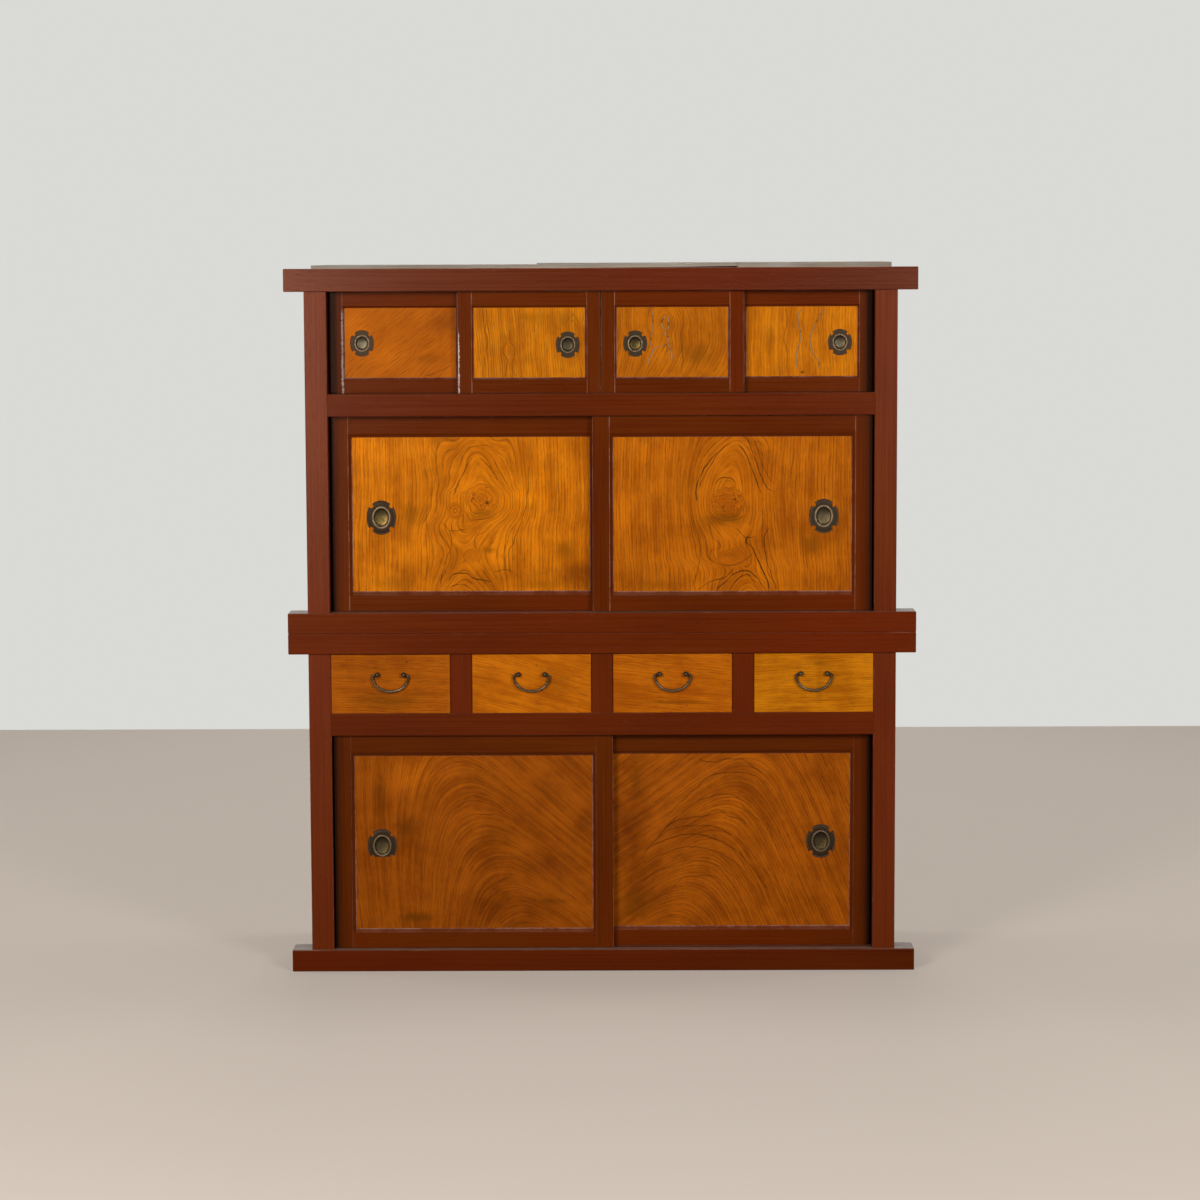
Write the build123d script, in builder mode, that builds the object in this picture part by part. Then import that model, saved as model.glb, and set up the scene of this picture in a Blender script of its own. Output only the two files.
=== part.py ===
from build123d import *
import os
from math import sqrt

os.makedirs("parts", exist_ok=True)

# A mizuya: a kitchen cabinet in two chests, the upper one standing loose on the lower one.
# X runs along the front, +Y to the back, +Z up. The origin is on the floor, under the middle.

# ------------------------------------------------------------- driving dimensions, mm

# Seen from the front
post_span = 1454.0  # over the outside faces of the posts
post_width = 55.0
beam_overhang = 49.0  # each horn of a front beam, past the post
divider_width = 53.0

# Heights, from the floor up
base_beam_height = 54.0
low_door_opening = 539.0
drawer_rail_height = 56.0
drawer_opening = 149.0
lower_top_beam_height = 51.0
upper_bottom_beam_height = 51.0
tall_door_opening = 485.0
middle_rail_height = 55.0
small_door_opening = 251.0
top_beam_height = 56.0

# Front to back
carcass_depth = 480.0
front_beam_depth = 76.0
back_beam_depth = 60.0
front_post_depth = 60.0
back_post_depth = 45.0
face_set_back = 8.0  # posts, rails and drawer fronts, behind the faces of the beams
back_set_back = 8.0  # back posts, in front of the back faces of the beams
back_rail_set_back = 9.0  # back rails, behind the front faces of the back posts
back_rail_depth = 22.0

# Joints of the carcass
tenon_length = 25.0
tenon_shoulder = 9.0  # wood round a tenon, on each side
tenon_thickness = 18.0
side_tenon_length = 14.0
side_tenon_thickness = 12.0
divider_tenon_length = 15.0
arris = 1.6  # worn corners of posts, beams and rails

# Sides, boards and shelves
side_rail_thickness = 28.0
side_rail_height = 36.0
side_rail_set_back = 6.0  # behind the outside faces of the posts
base_rail_lift = 4.0  # the lowest side rails clear the floor
side_panel_thickness = 8.0
side_panel_set_back = 10.0  # behind the faces of the side rails
panel_housing = 8.0  # depth of the grooves that hold a side panel
housing_play = 0.2
board_thickness = 12.0
board_joint = 0.6  # open joint between two boards
board_end_play = 0.4
board_drop = 3.0  # top of a floor or lid, below the top of its beams
boards_deep = 2  # boards, front to back, in a floor, a shelf or a lid
back_board_thickness = 7.0
back_board_count = 8
guide_height = 20.0
guide_play = 1.0
upper_shelf_height = 230.0  # top of the shelf, above the upper chest's bottom beam
lower_shelf_height = 276.0  # top of the shelf, above the lower chest's base beam

# Roof boards, lying bare on the top beams in three rows
roof_left = -708.0
roof_right = 711.0
roof_joints = (334.5, -160.0, 170.0)  # where the two boards of each row meet
roof_inset = 7.0
roof_left_thickness = 8.0
roof_right_thickness = 11.5
roof_warp = 3.0  # lift of the sprung end of the front left board
roof_warp_length = 420.0

# Sliding doors and their tracks
door_thickness = 20.0
front_door_set_back = 22.0  # face of a front door, behind the faces of the beams
door_passing_gap = 3.0
tongue_thickness = 14.0
groove_play = 0.5  # each side of a tongue
top_groove_depth = 14.0
bottom_groove_depth = 4.0
top_tongue_entry = 8.0
running_gap = 0.3
door_top_gap = 1.5
door_bottom_gap = 0.8
panel_set_back = 7.0  # panel, behind the face of its frame
panel_thickness = 9.0
panel_groove = 5.0  # shallower than the narrowest bevel
panel_end_play = 0.5
door_tenon_length = 28.0
door_tenon_shoulder = 9.0

large_door = {
    "width": 690.0,
    "stile": 42.0,
    "top_rail": 42.0,
    "bottom_rail": 39.0,
    "bevel": 10.0,
    "plate": (73.0, 85.0),
    "rim": (46.0, 55.0),
    "hollow": (37.0, 47.0),
}
small_door = {
    "width": 349.0,
    "stile": 33.0,
    "top_rail": 34.0,
    "bottom_rail": 33.0,
    "bevel": 5.5,
    "plate": (59.0, 65.0),
    "rim": (37.0, 41.0),
    "hollow": (27.0, 35.0),
}
low_door = {**large_door, "width": 694.0}
large_door_gap = 4.0  # between a large door and its post
small_door_gap = 3.0
small_meeting_gap = 1.0  # between the middle and the edge of each front door

# Cup pulls: a plate with four lobes, and a cup whose rim lies on it
plate_thickness = 1.6
rim_thickness = 2.0
rim_round = 0.7
cup_wall = 1.0
cup_depth = 9.4  # outside of the cup's floor, behind the face of the panel
cup_hole_play = 0.3
lobe_spread = 0.61  # tips of the upper and lower lobes, as a share of the half width
lobe_rise = 0.80  # and as a share of the half height
side_lobe_spread = 0.83
side_lobe_rise = 0.62
notch_reach = 0.58  # deepest point of a notch, as a share of both

# Drawers
drawer_front_thickness = 18.0
drawer_side_gap = 1.0
drawer_top_gap = 1.5
drawer_front_arris = 1.0
drawer_wall = 10.0
drawer_box_depth = 378.0
drawer_side_height = 118.0
drawer_back_height = 104.0
drawer_bottom_thickness = 7.0
drawer_bottom_rise = 5.0
drawer_box_inset = 1.5

# Bail pulls of the drawers
stud_spacing = 65.0
stud_drop = 50.0  # below the top edge of the drawer front
stud_reach = 8.0  # middle of the knob, out from the drawer front
knob_radius = 6.4
neck_radius = 2.6
shank_radius = 2.0
shank_play = 0.1
washer_radius = 6.0
washer_thickness = 1.2
bail_width = 88.5  # along the middle of the wire, side to side
bail_drop = 41.5  # middle of the wire, below the studs
bail_shoulder = 5.3  # radius of the bend beside each stud
bail_pin_radius = 2.4
bail_belly_radius = 3.3
bail_pin_play = 0.05
bail_pin_inset = 3.0  # end of the pin, past the middle of the knob

# ------------------------------------------------------------- places that follow

post_outer = post_span / 2
post_inner = post_outer - post_width
beam_end = post_outer + beam_overhang

base_top = base_beam_height
drawer_rail_bottom = base_top + low_door_opening
drawer_floor = drawer_rail_bottom + drawer_rail_height
drawer_ceiling = drawer_floor + drawer_opening
lower_top = drawer_ceiling + lower_top_beam_height
upper_base_top = lower_top + upper_bottom_beam_height
middle_rail_bottom = upper_base_top + tall_door_opening
middle_rail_top = middle_rail_bottom + middle_rail_height
top_beam_bottom = middle_rail_top + small_door_opening
top = top_beam_bottom + top_beam_height

knob_front = stud_reach + knob_radius - face_set_back  # the knobs stand out past the beams
front = (knob_front - carcass_depth) / 2
rear = front + carcass_depth
face = front + face_set_back

front_beam_y = (front, front + front_beam_depth)
back_beam_y = (rear - back_beam_depth, rear)
inside_y = (front_beam_y[1], back_beam_y[0])
front_post_y = (face, face + front_post_depth)
back_post_y = (rear - back_set_back - back_post_depth, rear - back_set_back)
front_rail_y = (face, front_beam_y[1])
back_rail_front = back_post_y[0] + back_rail_set_back
back_rail_y = (back_rail_front, back_rail_front + back_rail_depth)

front_track = front + front_door_set_back
rear_track = front_track + door_thickness + door_passing_gap

side_rail_face = post_outer - side_rail_set_back
side_rail_x = (side_rail_face - side_rail_thickness, side_rail_face)
side_panel_face = side_rail_face - side_panel_set_back
side_panel_x = (side_panel_face - side_panel_thickness, side_panel_face)
board_x = (board_end_play - side_panel_x[0], side_panel_x[0] - board_end_play)

drawer_bay = (2 * post_inner - 3 * divider_width) / 4
drawer_places = [-post_inner + drawer_bay / 2 + n * (drawer_bay + divider_width) for n in range(4)]
divider_places = [(a + b) / 2 for a, b in zip(drawer_places, drawer_places[1:])]


# ------------------------------------------------------------- helpers


def timber(x, y, z, mode=Mode.ADD):
    """Add, or cut away, a squared timber that runs between the two places given on each axis."""
    with Locations(((x[0] + x[1]) / 2, (y[0] + y[1]) / 2, (z[0] + z[1]) / 2)):
        Box(x[1] - x[0], y[1] - y[0], z[1] - z[0], mode=mode)


def mirrored(span):
    """The span, and its mirror image on the other side of the middle."""
    return [span, (-span[1], -span[0])]


def inset(span, by):
    """The span, shorter by the same amount at both ends."""
    return (span[0] + by, span[1] - by)


def around(middle, width):
    """The span of a width that has its middle at a place."""
    return (middle - width / 2, middle + width / 2)


def below(height, amount):
    """The span that ends at a height and starts the amount below it."""
    return (height - amount, height)


def front_plane(y):
    """The upright plane at a depth, seen from the front: its local axes are X and Z."""
    return Plane.XZ.offset(-y)


def save(piece, label):
    """Label a finished piece and write it to its own STEP file."""
    piece.label = label
    export_step(piece, f"parts/{label}.step")


# ------------------------------------------------------------- joints of the carcass


def post_tenons(z, mode):
    """The tenons at one end of the four posts, or their mortises in the beams."""
    for y in (front_post_y, back_post_y):
        for x in mirrored((post_inner, post_outer)):
            timber(inset(x, tenon_shoulder), inset(y, tenon_shoulder), z, mode)


def rail_tenons(y, z, mode):
    """The tenons of a rail that runs between two posts, or their mortises."""
    middle = (y[0] + min(y[1], y[0] + front_post_depth)) / 2
    for x in mirrored((post_inner, post_inner + tenon_length)):
        timber(x, around(middle, tenon_thickness), inset(z, tenon_shoulder), mode)


def side_tenons(front_shoulder, back_shoulder, z, mode):
    """The tenons at both ends of the side rails at one height, or their mortises."""
    middle = (side_rail_x[0] + side_rail_x[1]) / 2
    for x in mirrored(around(middle, side_tenon_thickness)):
        for y in (
            (front_shoulder - side_tenon_length, front_shoulder),
            (back_shoulder, back_shoulder + side_tenon_length),
        ):
            timber(x, y, inset(z, tenon_shoulder), mode)


def divider_tenons(z, mode):
    """The tenons at one end of the drawer dividers, or their mortises."""
    for x in divider_places:
        width = inset(around(x, divider_width), tenon_shoulder)
        timber(width, inset(front_post_y, tenon_shoulder), z, mode)


def door_grooves(z):
    """Cut the front and the rear groove of a pair of tracks."""
    for track in (front_track, rear_track):
        tongue = below(track + door_thickness, tongue_thickness)
        timber((-post_inner, post_inner), inset(tongue, -groove_play), z, Mode.SUBTRACT)


# ------------------------------------------------------------- pieces of a chest


def posts(z, side_rail_heights, front_rail_heights, back_rail_heights):
    """Four posts, with tenons at both ends, mortises for rails and grooves for side panels."""
    with BuildPart() as four:
        for y in (front_post_y, back_post_y):
            for x in mirrored((post_inner, post_outer)):
                timber(x, y, z)
        chamfer(four.edges().filter_by(Axis.Z), arris)
        post_tenons(below(z[0], tenon_length), Mode.ADD)
        post_tenons((z[1], z[1] + tenon_length), Mode.ADD)
        housing = (front_post_y[1] - panel_housing, back_post_y[0] + panel_housing)
        for x in mirrored(inset(side_panel_x, -housing_play)):
            timber(x, housing, z, Mode.SUBTRACT)
        for height in side_rail_heights:
            side_tenons(front_post_y[1], back_post_y[0], height, Mode.SUBTRACT)
        for height in front_rail_heights:
            rail_tenons(front_rail_y, height, Mode.SUBTRACT)
        for height in back_rail_heights:
            rail_tenons(back_rail_y, height, Mode.SUBTRACT)
    return four.part


def beams(z, post_mortise, side_rail_height, grooves=None, divider_mortise=None):
    """The front beam at one height, with horns that run past the posts, and the back beam."""
    with BuildPart() as pair:
        timber((-beam_end, beam_end), front_beam_y, z)
        timber((-post_outer, post_outer), back_beam_y, z)
        chamfer(pair.edges(), arris)
        post_tenons(post_mortise, Mode.SUBTRACT)
        side_tenons(inside_y[0], inside_y[1], side_rail_height, Mode.SUBTRACT)
        if grooves:
            door_grooves(grooves)
        if divider_mortise:
            divider_tenons(divider_mortise, Mode.SUBTRACT)
    return pair.part


def cross_rails(front_height, back_heights, grooves, divider_mortise=None):
    """Rails between the posts: one across the front, and those across the back."""
    with BuildPart() as rails:
        timber((-post_inner, post_inner), front_rail_y, front_height)
        for z in back_heights:
            timber((-post_inner, post_inner), back_rail_y, z)
        chamfer(rails.edges().filter_by(Axis.X), arris)
        rail_tenons(front_rail_y, front_height, Mode.ADD)
        for z in back_heights:
            rail_tenons(back_rail_y, z, Mode.ADD)
        for z in grooves:
            door_grooves(z)
        if divider_mortise:
            divider_tenons(divider_mortise, Mode.SUBTRACT)
    return rails.part


def side_rails(beam_rails, post_rails, floors):
    """Rails from front to back: some between the beams, rebated for a floor, some between posts."""
    with BuildPart() as rails:
        for heights, y in ((beam_rails, inside_y), (post_rails, (front_post_y[1], back_post_y[0]))):
            for z in heights:
                for x in mirrored(side_rail_x):
                    timber(x, y, z)
        chamfer(rails.edges().filter_by(Axis.Y), arris)
        for z in beam_rails:
            side_tenons(inside_y[0], inside_y[1], z, Mode.ADD)
        for z in post_rails:
            side_tenons(front_post_y[1], back_post_y[0], z, Mode.ADD)
        for floor_top in floors:
            rebate = (floor_top - board_thickness, floor_top + board_drop)
            for x in mirrored((side_rail_x[0], side_panel_x[0])):
                timber(x, inside_y, rebate, Mode.SUBTRACT)
    return rails.part


def side_panels(rail_heights):
    """Thin boards that close the sides, housed in the posts between each rail and the next."""
    housed = (front_post_y[1] - panel_housing, back_post_y[0] + panel_housing)
    with BuildPart() as panels:
        for lower, upper in zip(rail_heights, rail_heights[1:]):
            for x in mirrored(side_panel_x):
                timber(x, housed, (lower[1], upper[0]))
    return panels.part


def shelf_boards(tops):
    """Floors, shelves and lids: at each height, boards lying side by side from front to back."""
    depth = (inside_y[1] - inside_y[0] - (boards_deep - 1) * board_joint) / boards_deep
    with BuildPart() as boards:
        for board_top in tops:
            for number in range(boards_deep):
                start = inside_y[0] + number * (depth + board_joint)
                timber(board_x, (start, start + depth), below(board_top, board_thickness))
    return boards.part


def back_boards(z):
    """Upright boards nailed to the back posts, between the beams."""
    width = (post_span - (back_board_count - 1) * board_joint) / back_board_count
    with BuildPart() as boards:
        for number in range(back_board_count):
            start = -post_outer + number * (width + board_joint)
            thickness = (back_post_y[1], back_post_y[1] + back_board_thickness)
            timber((start, start + width), thickness, z)
    return boards.part


# ------------------------------------------------------------- lower chest

lower_rail = below(drawer_floor - board_thickness, side_rail_height)
lower_shelf_top = base_top + lower_shelf_height
lower_shelf_rail = below(lower_shelf_top - board_thickness, side_rail_height)
base_side_rail = (base_rail_lift, base_top)
lower_beam_z = (drawer_ceiling, lower_top)
drawer_rail_z = (drawer_rail_bottom, drawer_floor)

save(
    posts((base_top, drawer_ceiling), [lower_shelf_rail, lower_rail], [drawer_rail_z], [lower_rail]),
    "lower_posts",
)
save(
    beams(
        (0, base_top),
        below(base_top, tenon_length),
        base_side_rail,
        grooves=below(base_top, bottom_groove_depth),
    ),
    "lower_base_beams",
)
save(
    beams(
        lower_beam_z,
        (drawer_ceiling, drawer_ceiling + tenon_length),
        lower_beam_z,
        divider_mortise=(drawer_ceiling, drawer_ceiling + divider_tenon_length),
    ),
    "lower_top_beams",
)
save(
    cross_rails(
        drawer_rail_z,
        [lower_rail],
        [(drawer_rail_bottom, drawer_rail_bottom + top_groove_depth)],
        divider_mortise=below(drawer_floor, divider_tenon_length),
    ),
    "drawer_rails",
)
save(
    side_rails(
        [base_side_rail, lower_beam_z],
        [lower_shelf_rail, lower_rail],
        [base_top - board_drop, lower_top - board_drop],
    ),
    "lower_side_rails",
)
save(
    side_panels([base_side_rail, lower_shelf_rail, lower_rail, lower_beam_z]),
    "lower_side_panels",
)
save(back_boards((base_top, drawer_ceiling)), "lower_back_boards")
save(shelf_boards([base_top - board_drop, lower_shelf_top]), "lower_shelf_boards")
save(shelf_boards([lower_top - board_drop]), "lower_lid_boards")

with BuildPart() as drawer_dividers:
    for place in divider_places:
        timber(around(place, divider_width), front_post_y, (drawer_floor, drawer_ceiling))
    chamfer(drawer_dividers.edges().filter_by(Axis.Z), arris)
    divider_tenons(below(drawer_floor, divider_tenon_length), Mode.ADD)
    divider_tenons((drawer_ceiling, drawer_ceiling + divider_tenon_length), Mode.ADD)
save(drawer_dividers.part, "drawer_dividers")

# The drawers slide on a deck, between guide strips that line up with posts and dividers
guide_z = (drawer_floor, drawer_floor + guide_height)
with BuildPart() as drawer_guides:
    for place in divider_places:
        timber(inset(around(place, divider_width), guide_play), inside_y, guide_z)
    for span in mirrored((post_inner + guide_play, side_panel_x[0] - board_end_play)):
        timber(span, inside_y, guide_z)
save(
    Compound(children=[shelf_boards([drawer_floor]), drawer_guides.part]),
    "drawer_deck",
)

# ------------------------------------------------------------- upper chest

upper_bottom_z = (lower_top, upper_base_top)
middle_rail_z = (middle_rail_bottom, middle_rail_top)
top_beam_z = (top_beam_bottom, top)
upper_shelf_top = upper_base_top + upper_shelf_height
upper_shelf_rail = below(upper_shelf_top - board_thickness, side_rail_height)
small_floor_top = middle_rail_top - board_drop
small_floor_rail = below(small_floor_top - board_thickness, side_rail_height)

save(
    posts(
        (upper_base_top, top_beam_bottom),
        [upper_shelf_rail, small_floor_rail],
        [middle_rail_z],
        [upper_shelf_rail, small_floor_rail],
    ),
    "upper_posts",
)
save(
    beams(
        upper_bottom_z,
        below(upper_base_top, tenon_length),
        upper_bottom_z,
        grooves=below(upper_base_top, bottom_groove_depth),
    ),
    "upper_bottom_beams",
)
save(
    beams(
        top_beam_z,
        (top_beam_bottom, top_beam_bottom + tenon_length),
        top_beam_z,
        grooves=(top_beam_bottom, top_beam_bottom + top_groove_depth),
    ),
    "upper_top_beams",
)
save(
    cross_rails(
        middle_rail_z,
        [upper_shelf_rail, small_floor_rail],
        [
            (middle_rail_bottom, middle_rail_bottom + top_groove_depth),
            below(middle_rail_top, bottom_groove_depth),
        ],
    ),
    "upper_middle_rails",
)
save(
    side_rails(
        [upper_bottom_z, top_beam_z],
        [upper_shelf_rail, small_floor_rail],
        [upper_base_top - board_drop],
    ),
    "upper_side_rails",
)
save(
    side_panels([upper_bottom_z, upper_shelf_rail, small_floor_rail, top_beam_z]),
    "upper_side_panels",
)
save(back_boards((upper_base_top, top_beam_bottom)), "upper_back_boards")
save(
    shelf_boards([upper_base_top - board_drop, upper_shelf_top, small_floor_top]),
    "upper_shelf_boards",
)

# The roof is three rows of thin boards; the front left one has sprung up at its joint
roof_rows = len(roof_joints)
roof_row_depth = (carcass_depth - 2 * roof_inset - (roof_rows - 1) * board_joint) / roof_rows
roof_row_starts = [front + roof_inset + n * (roof_row_depth + board_joint) for n in range(roof_rows)]
warp_start = roof_joints[0] - roof_warp_length
warp_middle = roof_joints[0] - roof_warp_length / 2
with BuildPart() as roof_boards:
    for row_start, joint in zip(roof_row_starts, roof_joints):
        row_y = (row_start, row_start + roof_row_depth)
        timber((joint + board_joint, roof_right), row_y, (top, top + roof_right_thickness))
        if row_start > roof_row_starts[0]:
            timber((roof_left, joint), row_y, (top, top + roof_left_thickness))
    with BuildSketch(front_plane(roof_row_starts[0])) as sprung_board:
        with BuildLine():
            lower_edge = Line((roof_left, top), (warp_start, top))
            lower_bend = ThreePointArc(
                lower_edge @ 1,
                (warp_middle, top + roof_warp / 4),
                (roof_joints[0], top + roof_warp),
            )
            board_end = Line(lower_bend @ 1, lower_bend @ 1 + (0, roof_left_thickness))
            upper_bend = ThreePointArc(
                board_end @ 1,
                (warp_middle, top + roof_warp / 4 + roof_left_thickness),
                (warp_start, top + roof_left_thickness),
            )
            Polyline(upper_bend @ 1, (roof_left, top + roof_left_thickness), (roof_left, top))
        make_face()
    extrude(amount=-roof_row_depth)
save(roof_boards.part, "roof_boards")


# ------------------------------------------------------------- sliding doors


def frame_member(frame_blank, outline, face_y, tenons, tenon_mode):
    """One stile or rail: the part of the frame inside an outline, with its tenons or mortises."""
    with BuildPart() as member:
        add(frame_blank)
        with BuildSketch(front_plane(face_y)):
            with BuildLine():
                Polyline(*outline, close=True)
            make_face()
        extrude(amount=-door_thickness, mode=Mode.INTERSECT)
        for tenon_x, tenon_z in tenons:
            timber(tenon_x, (face_y + panel_set_back, face_y + panel_set_back + panel_thickness),
                   tenon_z, tenon_mode)
    return member.part


def door_frame(middle, opening, face_y, style):
    """Two stiles and two rails, tenoned together, mitred only where their bevels meet."""
    width = around(middle, style["width"])
    depth = (face_y, face_y + door_thickness)
    body = (opening[0] + door_bottom_gap, opening[1] - door_top_gap)
    tongues = (opening[0] - bottom_groove_depth + running_gap, opening[1] + top_tongue_entry)
    flat_x = inset(width, style["stile"])
    flat_z = (body[0] + style["bottom_rail"], body[1] - style["top_rail"])
    window_x = inset(flat_x, style["bevel"])
    window_z = inset(flat_z, style["bevel"])
    panel_y = (face_y + panel_set_back, face_y + panel_set_back + panel_thickness)

    with BuildPart() as blank:
        timber(width, depth, body)
        chamfer(blank.edges().group_by(Axis.Y)[0], arris / 2)
        timber(width, below(depth[1], tongue_thickness), tongues)
        timber(window_x, depth, window_z, Mode.SUBTRACT)
        with BuildSketch(front_plane(face_y)):
            with Locations((middle, sum(flat_z) / 2)):
                Rectangle(flat_x[1] - flat_x[0], flat_z[1] - flat_z[0])
        with BuildSketch(front_plane(face_y + panel_set_back)):
            with Locations((middle, sum(window_z) / 2)):
                Rectangle(window_x[1] - window_x[0], window_z[1] - window_z[0])
        loft(mode=Mode.SUBTRACT)
        timber(inset(window_x, -panel_groove), panel_y, inset(window_z, -panel_groove),
               Mode.SUBTRACT)

    tenon_heights = (
        (flat_z[1], body[1] - door_tenon_shoulder),
        (body[0] + door_tenon_shoulder, flat_z[0]),
    )
    left_x = (flat_x[0] - door_tenon_length, flat_x[0])
    right_x = (flat_x[1], flat_x[1] + door_tenon_length)
    members = []
    for outer, flat, window, tenon_x in (
        (width[0], flat_x[0], window_x[0], left_x),
        (width[1], flat_x[1], window_x[1], right_x),
    ):
        outline = [
            (outer, tongues[0]), (flat, tongues[0]), (flat, flat_z[0]), (window, window_z[0]),
            (window, window_z[1]), (flat, flat_z[1]), (flat, tongues[1]), (outer, tongues[1]),
        ]
        mortises = [(tenon_x, tenon_z) for tenon_z in tenon_heights]
        members.append(frame_member(blank.part, outline, face_y, mortises, Mode.SUBTRACT))
    for end, flat, window, tenon_z in (
        (tongues[1], flat_z[1], window_z[1], tenon_heights[0]),
        (tongues[0], flat_z[0], window_z[0], tenon_heights[1]),
    ):
        outline = [
            (flat_x[0], end), (flat_x[0], flat), (window_x[0], window),
            (window_x[1], window), (flat_x[1], flat), (flat_x[1], end),
        ]
        tenons = [(tenon_x, tenon_z) for tenon_x in (left_x, right_x)]
        members.append(frame_member(blank.part, outline, face_y, tenons, Mode.ADD))
    return Compound(children=members), window_x, window_z


def door_panel(window_x, window_z, panel_y, pull_place, style):
    """The board in a door's frame, with the oval hole for its cup."""
    reach = panel_end_play - panel_groove
    hole = [size + 2 * (cup_wall + cup_hole_play) for size in style["hollow"]]
    with BuildPart() as panel:
        timber(inset(window_x, reach), (panel_y, panel_y + panel_thickness), inset(window_z, reach))
        with BuildSketch(front_plane(panel_y)):
            with Locations(pull_place):
                Ellipse(hole[0] / 2, hole[1] / 2)
        extrude(amount=-panel_thickness, mode=Mode.SUBTRACT)
    return panel.part


def pull_plate(pull_place, panel_y, style, lobes):
    """The lobed plate of a pull, with an oval hole for the cup. A worn one has lost a lobe."""
    half_width, half_height = (size / 2 for size in style["plate"])
    tip_x = half_width * lobe_spread
    tip_z = half_height * lobe_rise
    side_x = half_width * side_lobe_spread
    side_z = half_height * side_lobe_rise
    notch = (half_width * notch_reach, half_height * notch_reach)
    with BuildPart() as plate:
        with BuildSketch(front_plane(panel_y)):
            with Locations(pull_place):
                with BuildSketch(mode=Mode.PRIVATE) as outline:
                    with BuildLine():
                        ThreePointArc((-tip_x, tip_z), (0, half_height), (tip_x, tip_z))
                        ThreePointArc((tip_x, tip_z), notch, (side_x, side_z))
                        ThreePointArc((side_x, side_z), (half_width, 0), (side_x, -side_z))
                        ThreePointArc((side_x, -side_z), (notch[0], -notch[1]), (tip_x, -tip_z))
                        ThreePointArc((tip_x, -tip_z), (0, -half_height), (-tip_x, -tip_z))
                        ThreePointArc((-tip_x, -tip_z), (-notch[0], -notch[1]), (-side_x, -side_z))
                        ThreePointArc((-side_x, -side_z), (-half_width, 0), (-side_x, side_z))
                        ThreePointArc((-side_x, side_z), (-notch[0], notch[1]), (-tip_x, tip_z))
                    make_face()
                add(outline.sketch)
                Ellipse(style["hollow"][0] / 2 + cup_wall, style["hollow"][1] / 2 + cup_wall,
                        mode=Mode.SUBTRACT)
        extrude(amount=plate_thickness)
        if lobes == 3:
            lost = (pull_place[1] - half_height, pull_place[1] - style["rim"][1] / 2)
            timber(around(pull_place[0], 2 * tip_x), (panel_y - plate_thickness, panel_y), lost,
                   Mode.SUBTRACT)
    return plate.part


def pull_cup(pull_place, panel_y, style):
    """The oval cup of a pull, with a rounded rim that lies on the plate."""
    rim_y = panel_y - plate_thickness - rim_thickness
    with BuildPart() as cup:
        with BuildSketch(front_plane(rim_y)):
            with Locations(pull_place):
                Ellipse(style["rim"][0] / 2, style["rim"][1] / 2)
        extrude(amount=-rim_thickness)
        fillet(cup.edges().group_by(Axis.Y)[0], rim_round)
        with BuildSketch(front_plane(rim_y + rim_thickness)):
            with Locations(pull_place):
                Ellipse(style["hollow"][0] / 2 + cup_wall, style["hollow"][1] / 2 + cup_wall)
        extrude(amount=-plate_thickness - cup_depth)
        with BuildSketch(front_plane(rim_y)):
            with Locations(pull_place):
                Ellipse(style["hollow"][0] / 2, style["hollow"][1] / 2)
        extrude(amount=-rim_thickness - plate_thickness - cup_depth + cup_wall, mode=Mode.SUBTRACT)
    return cup.part


def door(label, middle, opening, face_y, style, pull_edge, pull_inset, pull_drop, lobes=4):
    """A framed sliding door. Its pull lies an inset from the panel's left (-1) or right (1) edge."""
    frame, window_x, window_z = door_frame(middle, opening, face_y, style)
    panel_y = face_y + panel_set_back
    edge = window_x[0] if pull_edge < 0 else window_x[1]
    pull_place = (edge - pull_edge * pull_inset, sum(window_z) / 2 - pull_drop)
    save(frame, f"{label}_frame")
    save(door_panel(window_x, window_z, panel_y, pull_place, style), f"{label}_panel")
    plate = pull_plate(pull_place, panel_y, style, lobes)
    save(Compound(children=[plate, pull_cup(pull_place, panel_y, style)]), f"{label}_pull")


small_row = (middle_rail_top, top_beam_bottom)
tall_row = (upper_base_top, middle_rail_bottom)
low_row = (base_top, drawer_rail_bottom)
small_outer = post_inner - small_door_gap - small_door["width"] / 2
small_inner = small_meeting_gap + small_door["width"] / 2
tall_outer = post_inner - large_door_gap - large_door["width"] / 2
low_outer = post_inner - large_door_gap - low_door["width"] / 2

door("small_door_1", -small_outer, small_row, rear_track, small_door, -1, 42.0, 0.9)
door("small_door_2", -small_inner, small_row, front_track, small_door, 1, 41.6, 5.5)
door("small_door_3", small_inner, small_row, front_track, small_door, -1, 45.0, 3.5)
door("small_door_4", small_outer, small_row, rear_track, small_door, 1, 41.8, 2.5)
door("tall_door_left", -tall_outer, tall_row, rear_track, large_door, -1, 70.4, 7.5)
door("tall_door_right", tall_outer, tall_row, front_track, large_door, 1, 67.2, 5.8)
door("low_door_left", -low_outer, low_row, front_track, low_door, -1, 65.3, 8.2, lobes=3)
door("low_door_right", low_outer, low_row, rear_track, low_door, 1, 71.0, 3.9)


# ------------------------------------------------------------- drawers

drawer_width = drawer_bay - 2 * drawer_side_gap
drawer_z = (drawer_floor + running_gap, drawer_ceiling - drawer_top_gap)
drawer_front_y = (face, face + drawer_front_thickness)
drawer_box_y = (drawer_front_y[1], drawer_front_y[1] + drawer_box_depth)
stud_z = drawer_z[1] - stud_drop
pivot_y = face - stud_reach


def drawer_front(middle):
    """A solid drawer front, drilled for the shanks of its two studs."""
    with BuildPart() as board:
        timber(around(middle, drawer_width), drawer_front_y, drawer_z)
        chamfer(board.edges().group_by(Axis.Y)[0], drawer_front_arris)
        with Locations(front_plane(face)):
            with Locations((middle, stud_z)):
                with GridLocations(stud_spacing, 0, 2, 1):
                    Hole(shank_radius + shank_play)
    return board.part


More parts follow.
